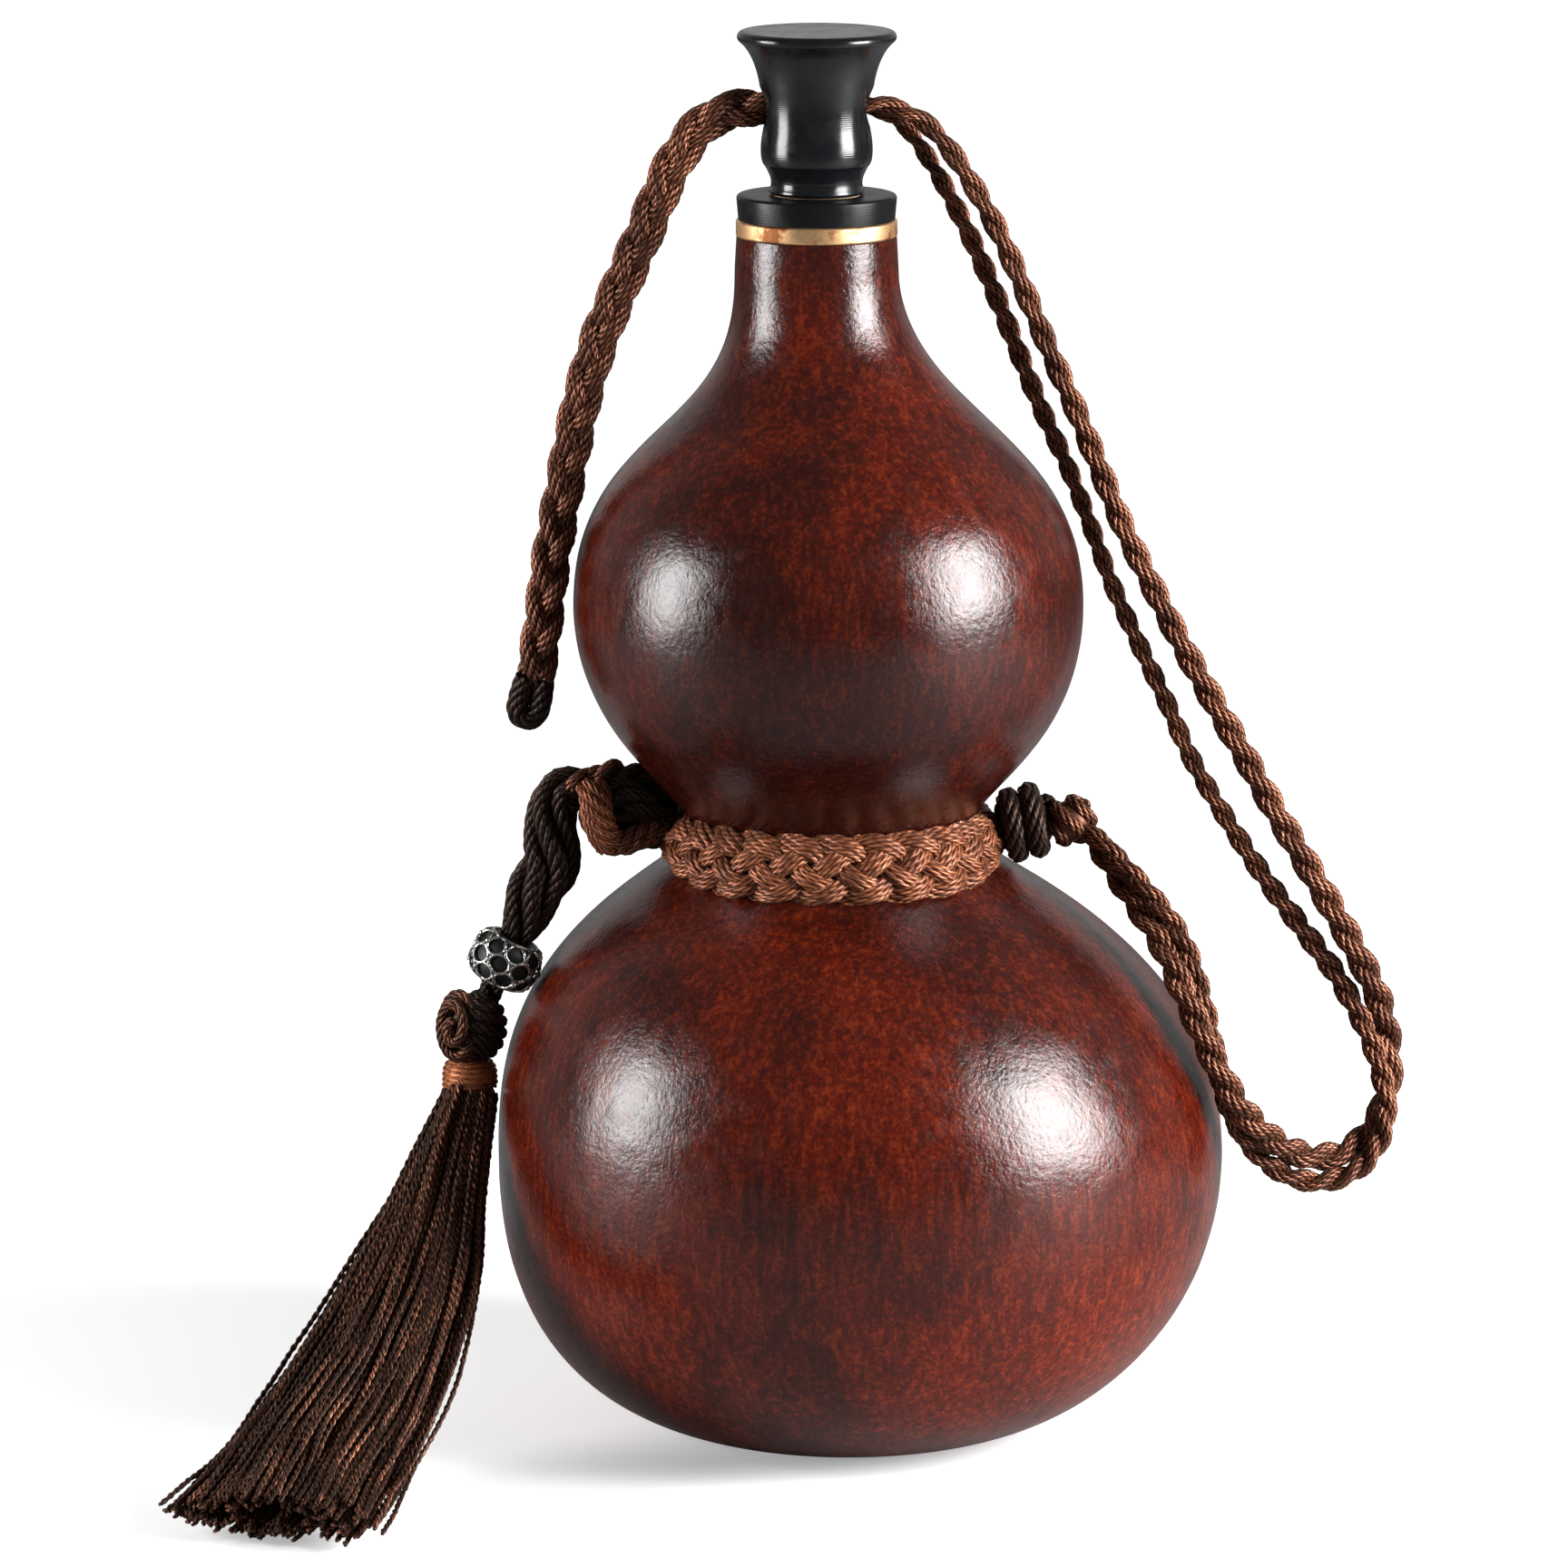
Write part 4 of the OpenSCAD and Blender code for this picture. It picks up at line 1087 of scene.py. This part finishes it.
KNOT_MIDDLE, KNOT_WAY = np.array([-41.5, -3.3, 106.2]) * MM, np.array([-0.86, -0.1, 0.46])
KNOT_CORDS = [
    ("left_wrapped_knot", 3, 1.2, 1.3, 12, DARK_AND_SHADE_YARN, [
        [11.5, 1, -3.8], [8, -1.5, -3.6], [4.5, -3.2, -3.8], [0.5, -4.2, -4.0], [-2.6, -4.4, -1.8],
        [-3.2, -4.6, 1.6], [-1.8, -3.6, 4.8], [1.2, -1.6, 5.8], [5.6, 0.6, 5.0], [8.2, 1.4, 1.8],
        [7.4, 2.2, -2.0], [2.6, 3.4, -3.4], [-1.6, 3.6, -1.6], [-4.2, 2.6, 1.4], [-6.2, 0.6, 3.4],
        [-7.8, -0.8, 3.2]]),
    ("knot_front", 6, 1.9, 0.95, 13, BRAID_YARN, [
        [-3.4, -4.4, 5.2], [-2.8, -5.6, 3.0], [-2.4, -6.0, 0.2], [-1.6, -5.6, -2.6], [0.0, -4.2, -4.8]]),
    ("knot_foot", 4, 1.35, 1.05, 9, STRAP_YARN, [
        [-2.0, -3.0, -4.4], [1.4, -4.6, -4.6], [4.4, -4.2, -3.6], [7.6, -2.6, -2.6], [10.4, -0.6, -2.2]]),
    ("knot_top", 2, 0.85, 1.15, 8, STRAP_YARN, [
        [-3.8, 0.4, 3.0], [-3.4, -2.2, 5.4], [-1.6, -2.4, 7.0], [0.6, -0.6, 6.8], [1.6, 1.6, 4.8]]),
    ("knot_side", 2, 0.85, 1.2, 9, STRAP_YARN, [
        [-7.2, 1.4, 0.6], [-8.2, -0.6, 3.0], [-6.8, -2.4, 5.0], [-4.4, -2.0, 5.6], [-2.6, 0.4, 4.8]]),
    # knot_back and knot_fill are near-black bundles of painted shade in the hollow behind the knot's front.
    ("knot_back", 4, 1.5, 1.2, 16, DARK_AND_SHADE_YARN, [
        [-1.4, -2.2, 4.8], [1.4, -3.0, 4.0], [4.0, -3.2, 2.2], [6.4, -2.8, 0.2], [8.6, -1.6, -1.4]]),
    ("knot_fill", 3, 1.3, 1.1, 14, DARK_AND_SHADE_YARN, [
        [-0.8, -2.6, 1.4], [1.6, -3.0, 0.4], [4.2, -2.6, -1.2], [7.4, -1.4, -2.0]])]


def knot_cords():
    """Bundles of strands along given points round the knot's middle."""
    made = []
    for name, strands, lay, radius, turn, material, points in KNOT_CORDS:
        path = smooth(np.array(points) * MM + KNOT_MIDDLE, 0.4 * MM)
        made.append(twisted_cord(name, path, None, strands, lay * MM, turn * MM, material, silk(radius * MM)))
    return made


# The near-black core is painted shade that fills the hollow inside the knot.
core_at = KNOT_MIDDLE + np.array([1.6, 1.2, 0.4]) * MM
knot_core = egg("knot_core", 4.6 * MM, 4.6 * MM, 13, 24, DARK_AND_SHADE_YARN, core_at)
left_knot = join([*knot_cords(), knot_core], "left_wrapped_knot")

# %% Right wrap and ball button
WRAP_AT, WRAP_WAY = np.array([23.5, -1, 103.6]) * MM, np.array([1.0, 0.0, 0.02])
right_wrap = wound_piece("right_thread_wrap", barrel_outline(14.0 * MM, 7.6 * MM, 0.66), 2.2 * MM, 2.5,
                         1.8 * MM, DARK_AND_SHADE_YARN, WRAP_AT, WRAP_WAY)
BUTTON_AT, BUTTON_R = np.array([35.15, -1, 103.95]) * MM, 4.5 * MM
button_path = egg_spiral([BUTTON_R - 1.15 * MM] * 3, (0.55, 0.2, 0.8), 3.2) + BUTTON_AT
button_cord = single_cord("ball_button", button_path, STRAP_YARN, silk(1.2 * MM, 6))
button_core_r = BUTTON_R - 1.0 * MM
button_core = egg("button_core", button_core_r, button_core_r, 17, 32, STRAP_YARN, BUTTON_AT)
button = join([button_cord, button_core], "ball_button")

# %% [markdown]
# ## Lead, bead, tassel head and binding
# The tassel's lead is a bundle of dark cords from the knot down through a pierced silver bead. The head is
# one cord wound into an oval over a near-black core, with a near-black cord wound over its right side; that
# core and that cord are painted shade. A close copper binding holds the threads of the skirt under it.

# %% Lead


def from_place(place, offsets_mm):
    """Points given by their offsets from a place."""
    return [place + np.array(offset) * MM for offset in offsets_mm]


def on_bead_axis(distances_mm):
    return [BEAD_AT + BEAD_WAY * d * MM for d in distances_mm]


LEAD_START = np.array([-46.53, -4.03, 108.97]) * MM
BEAD_AT, BEAD_WAY = np.array([-59.6, -4, 80.8]) * MM, np.array([0.44, 0, 0.9]) / math.hypot(0.44, 0.9)
lead_path = smooth([
    LEAD_START + KNOT_WAY * 0.5 * MM,
    *from_place(LEAD_START, [(-3, -0.3, 1.3), (-5, 0, -2), (-5.2, 0, -7.4), (-5.6, 0, -12.6)]),
    np.array([-54.8, -4, 92]) * MM, *on_bead_axis([6.2, 4, -4, -4.9])])
LEAD_WIDTHS = [3.6, 4.0, 4.4, 4.8, 4.9, 4.8, 4.1, 2.6, 2.5, 2.3]
lead_sizes = np.interp(np.linspace(0, 9, len(lead_path)), range(10), LEAD_WIDTHS) / 4.8
lead = laid_cord("tassel_lead_cords", [lead_path], [lead_sizes], Strands=5, Lay_width=3.2 * MM,
                 Lay_depth=2.3 * MM, Turn_length=52 * MM, Material=DARK_AND_SHADE_YARN, **silk(1.75 * MM))

# %% Tassel head and binding
HEAD_AT = np.array([-65.7, -4.6, 69.6]) * MM
FRONT_CORD_R, SHADE_CORD_R = 0.95 * MM, 1.1 * MM
front_path = egg_spiral(np.array([4.1, 4.6, 6.5]) * MM - FRONT_CORD_R, (-0.4, -0.91, 0.1), 4.4)
# The near-black cord over the head's right side and the near-black core are painted shade.
shade_cord_path = egg_spiral(np.array([4.9, 4.7, 6.2]) * MM - SHADE_CORD_R, (0.15, 0.1, 1), 7.6)
front_middle, shade_cord_middle, foot_end = from_place(HEAD_AT, [(-1.6, -1.1, 0), (1.6, -0.5, 0), (1.6, -0.2, 2.6)])
dark_cord = single_cord("head_dark_cord", shade_cord_path + shade_cord_middle, DARK_AND_SHADE_YARN, silk(SHADE_CORD_R, 5))
front_cord = single_cord("tassel_head_knot", front_path + front_middle, HEAD_YARN, silk(FRONT_CORD_R, 5))
head_core = egg("head_core", 3.9 * MM, 5.4 * MM, 17, 32, DARK_AND_SHADE_YARN, HEAD_AT)
foot_path = smooth([*on_bead_axis([-4.1, -5.2, -6.6]), foot_end])
lead_foot = twisted_cord("lead_foot", foot_path, None, 3, 1.05 * MM, 14 * MM, DARK_AND_SHADE_YARN, silk(1.15 * MM, 5))
head = join([front_cord, dark_cord, head_core, lead_foot], "tassel_head_knot")
BINDING_OUT = np.array([[4.6, 0], [4.8, 0.6], [4.7, 3.0], [4.2, 4.2], [2.2, 5.2]]) * MM
binding = wound_piece("copper_thread_binding", BINDING_OUT, 0.45 * MM, 7.2, 0.3 * MM, BINDING_YARN,
                      HEAD_AT - [0, 0, 10.55 * MM], (0, 0, 1), plies=3)

# %% [markdown]
# ## The filigree bead
# The silver bead is openwork: three rows of wire loops, with a grain between loops and a plain wire round
# each end, over a thin near-black barrel that is painted shade for the hollow inside. All of it is thin
# wire and small balls, laid on one barrel outline.

# %% Filigree bead
BEAD_OUT = np.array([(3.3, -4.0), (4.9, -3.4), (5.65, -1.9), (5.85, 0), (5.65, 1.9), (4.9, 3.4),
                     (3.3, 4.0)]) * MM
LOOP_ROWS = [(-2.4 * MM, 1.45 * MM), (0.0, 1.6 * MM), (2.4 * MM, 1.45 * MM)]
LOOPS_IN_ROW, LOOP_WIRE_R, RIM_WIRE_R, RIM_Z = 9, 0.30 * MM, 0.36 * MM, 3.75 * MM


def on_bead(angle, height, over=0.0):
    radius = np.interp(height, BEAD_OUT[:, 1], BEAD_OUT[:, 0]) + over
    return np.column_stack([radius * np.cos(angle), radius * np.sin(angle), height])


def bead_wire(points, radius):
    wire = {"Strand_radius": radius, "Sides": 6}
    return single_cord("bead_wire", aimed(points, BEAD_AT, BEAD_WAY), SILVER, wire, closed=True)


def bead_row(row, height, size):
    """One row of wire loops, with a grain after each. Every other row is shifted by half a loop."""
    turn = np.linspace(0, FULL_TURN, 19)[:-1]
    level = np.array([height])
    made = []
    for k in range(LOOPS_IN_ROW):
        middle = (k + 0.5 * row) / LOOPS_IN_ROW * FULL_TURN
        loop_angle = middle + size * 1.15 * np.cos(turn) / on_bead(np.zeros(1), level)[0, 0]
        made.append(bead_wire(on_bead(loop_angle, height + size * np.sin(turn), 0.12 * MM), LOOP_WIRE_R))
        grain_angle = np.array([middle + math.pi / LOOPS_IN_ROW])
        grain_at = aimed(on_bead(grain_angle, level, 0.15 * MM), BEAD_AT, BEAD_WAY)[0]
        made.append(egg("bead_grain", 0.5 * MM, 0.5 * MM, 7, 10, SILVER, grain_at))
    return made


def bead_rim(height):
    turn = np.linspace(0, FULL_TURN, 73)[:-1]
    return bead_wire(on_bead(turn, np.full(72, height), 0.1 * MM), RIM_WIRE_R)


def bead_shell():
    """The near-black barrel behind the wires: painted shade for the bead's hollow inside."""
    outside = BEAD_OUT - [0.3 * MM, 0]
    outline = np.vstack([outside, [(2.9 * MM, 4.0 * MM), (2.9 * MM, -4.0 * MM), outside[0]]])
    return turned("bead_shell", outline, 48, BEAD_PAINTED_SHADE, at=BEAD_AT, way=BEAD_WAY)


bead_pieces = [piece for row, (height, size) in enumerate(LOOP_ROWS) for piece in bead_row(row, height, size)]
bead = join([bead_shell(), bead_rim(RIM_Z), bead_rim(-RIM_Z), *bead_pieces[::-1]], "openwork_bead")
print("bead", len(bead.data.polygons), "faces")

# %% [markdown]
# ## The tassel's skirt
# Some three hundred and sixty twisted threads fall beside the belly and spread on the table. The tree copies
# one middle line, gives each copy its own place in an oval that widens downwards, waves it a little, cuts its
# end at its own length, and keeps every point above the table.

# %% Geometry Nodes: tassel threads
SKIRT_ROUTE = np.array([
    [-65.7, -4.6, 59], [-66.8, -7.0, 55.5], [-68.8, -12, 50], [-71.0, -18, 43.5], [-73.6, -25, 36.5],
    [-76.8, -33.5, 28.8], [-80.8, -43.5, 21.2], [-85.6, -55, 14.4], [-90.8, -67, 9], [-96, -80, 5.2]]) * MM
SKIRT_HALF_WIDTH = [4.6, 6.8, 9.0, 12.0, 14.2, 15.9, 17.0, 17.9, 19.0, 20.4]
SKIRT_HALF_DEPTH = [4.2, 4.6, 5.0, 5.4, 6.0, 6.4, 6.6, 6.4, 5.6, 4]
THREAD_INPUTS = [("Geometry", GEOMETRY, None), ("Threads", WHOLE, 90), ("Seed", WHOLE, 4),
                 ("Lock", FLOAT, 6.0), ("Waviness", FLOAT, 0.0015), ("Waves", FLOAT, 3.0),
                 ("Shortest", FLOAT, 0.965), ("Ply lay", FLOAT, 0.00022), ("Ply turn", FLOAT, 0.0036),
                 ("Strand radius", FLOAT, 0.00032), ("Floor", FLOAT, 0.0007),
                 ("Face", VECTOR, (-1.0, 0.5, 0.0)), ("Material", MATERIAL, None)]


def chance(tree, low, high, index, seed):
    return put(tree, "FunctionNodeRandomValue", {2: low, 3: high, "ID": index, "Seed": seed}).outputs[1]


def thread_offset(tree, g, index, along):
    """Where a thread lies beside the middle line: its lock's place in the oval, its own place, a wander."""
    lock = calc(tree, "FLOOR", calc(tree, "DIVIDE", index, g["Lock"]))
    lock_seed = total(tree, g["Seed"], 7.0)
    reach = product(tree, calc(tree, "POWER", chance(tree, 0.0, 1.0, lock, lock_seed), 0.36),
                    chance(tree, 0.76, 1.06, index, g["Seed"]))
    angle = total(tree, chance(tree, 0.0, FULL_TURN, lock, total(tree, lock_seed, 1.0)),
                  chance(tree, -0.24, 0.24, index, total(tree, g["Seed"], 1.0)))
    own_place = from_parts(tree, total(tree, product(tree, lock, 7.31), product(tree, index, 0.09)),
                           product(tree, along, g["Waves"]), g["Seed"])
    drift = put(tree, "ShaderNodeTexNoise", {"Vector": own_place, "Scale": 1.0, "Detail": 1.5})
    freedom = product(tree, calc(tree, "POWER", along, 0.8), g["Waviness"], 4.0)
    wander = scaled(tree, vector(tree, "SUBTRACT", drift.outputs["Color"], (0.5, 0.5, 0.5)), freedom)
    rearward, outward = across_and_through(tree, g["Face"])
    width = tree.nodes.new("GeometryNodeInputRadius").outputs[0]
    depth = tree.nodes.new("GeometryNodeInputCurveTilt").outputs[0]
    side = scaled(tree, outward, product(tree, calc(tree, "COSINE", angle), reach, width))
    rise = scaled(tree, rearward, product(tree, calc(tree, "SINE", angle), reach, depth))
    return vector(tree, "ADD", vector(tree, "ADD", side, rise), wander)


def above_floor(tree, curves, floor):
    spot = parts_of(tree, tree.nodes.new("GeometryNodeInputPosition").outputs[0])
    place = from_parts(tree, spot["X"], spot["Y"], calc(tree, "MAXIMUM", spot["Z"], floor))
    return put(tree, "GeometryNodeSetPosition", {"Geometry": curves, "Position": place}).outputs[0]


def thread_tree():
    tree, g, result = new_tree("tassel threads", "GeometryNodeTree", THREAD_INPUTS, [("Geometry", GEOMETRY)])
    copies = put(tree, "GeometryNodeDuplicateElements", {"Geometry": g["Geometry"], "Amount": g["Threads"]},
                 domain="SPLINE")
    index = copies.outputs["Duplicate Index"]
    along = tree.nodes.new("GeometryNodeSplineParameter").outputs["Factor"]
    spread = put(tree, "GeometryNodeSetPosition", {"Geometry": copies.outputs[0],
                                                   "Offset": thread_offset(tree, g, index, along)})
    own_end = chance(tree, g["Shortest"], 1.0, index, total(tree, g["Seed"], 2.0))
    cut = put(tree, "GeometryNodeTrimCurve", {"Curve": spread.outputs[0], "End": own_end})
    level = put(tree, "GeometryNodeSetCurveRadius", {"Curve": cut.outputs[0], "Radius": 1.0})
    plies = lay_strands(tree, level.outputs[0], 2, g["Ply lay"], g["Ply lay"], 1.0, g["Ply turn"], g["Face"])
    raised = above_floor(tree, plies, g["Floor"])
    own_run = product(tree, index, 0.37)
    skin = round_strands(tree, raised, g["Strand radius"], 5, g["Material"], shift=own_run)
    feed(tree, result, Geometry=skin)
    return tree


TASSEL_THREADS = thread_tree()
print("tassel tree has", len(TASSEL_THREADS.nodes), "nodes")

# %% Tassel skirt
skirt_path = smooth(SKIRT_ROUTE, 1.0 * MM)


def along_skirt(values_mm):
    """Values given at the route's points, spread evenly along the skirt."""
    return np.interp(np.linspace(0, 9, len(skirt_path)), range(10), values_mm) * MM


def skirt_part(name, seed):
    line = line_object(name, [skirt_path], [along_skirt(SKIRT_HALF_WIDTH)])
    line.data.splines[0].points.foreach_set("tilt", along_skirt(SKIRT_HALF_DEPTH))
    part = bake(line, TASSEL_THREADS, Seed=seed, Material=TASSEL_YARN)
    print(name, len(part.data.polygons), "faces")
    return part


skirt_parts = [skirt_part("tassel_threads" + layer, seed) for layer, seed in (
    ("", 4), ("_middle", 23), ("_back", 58), ("_inner", 91))]

# %% [markdown]
# ## What each piece stands for and moves with
# Every piece takes the place of the plain solid of the same part. All but the two legs and the lead move
# with the same body; those three keep their place baked into their mesh.

# %% Bodies and slots
for piece, body, slot, nodes in (
        (gourd, "root", "gourd", ["gourd_shell"]), (ring, "root", "brass", ["brass_ring"]),
        (collar, "root", "horn", ["mouth_collar"]), (braid, "root", "cord", ["waist_band"]),
        (left_knot, "root", "cord", ["left_knot"]), (right_wrap, "root", "dark_cord", ["right_wrap"]),
        (button, "root", "cord", ["right_button"]), (doubled_strap, "root", "cord", ["strap_lower"]),
        (stopper, "stopper", "horn", ["stopper"]), (cork, "stopper", "cork", ["cork_sleeve"]),
        (hole_cord, "stopper", "cord", ["strap_pass"]), (tail, "stopper", "cord", ["strap_tail"]),
        (tail_end, "stopper", "cord", ["tail_end"]), (leg_thick, None, "cord", ["strap_leg_thick"]),
        (leg_thin, None, "cord", ["strap_leg_thin"]), (lead, None, "dark_cord", ["tassel_lead"]),
        (head, "tassel", "cord", ["tassel_head"]), (binding, "tassel", "copper_thread", ["tassel_binding"]),
        (bead, "bead", "silver", ["filigree_bead"]),
        *((part, "tassel", "dark_cord", ["tassel_skirt"]) for part in skirt_parts)):
    if body:
        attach(piece, body)
    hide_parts(*nodes)

for leg, path in ((leg_thick, thick_path), (leg_thin, thin_path)):
    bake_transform(leg)
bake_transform(lead)

# %% A helper for the corners of a path


def corners(path, each=8):
    """Some points of a path, with its last one."""
    return path[::each].tolist() + [path[-1].tolist()]
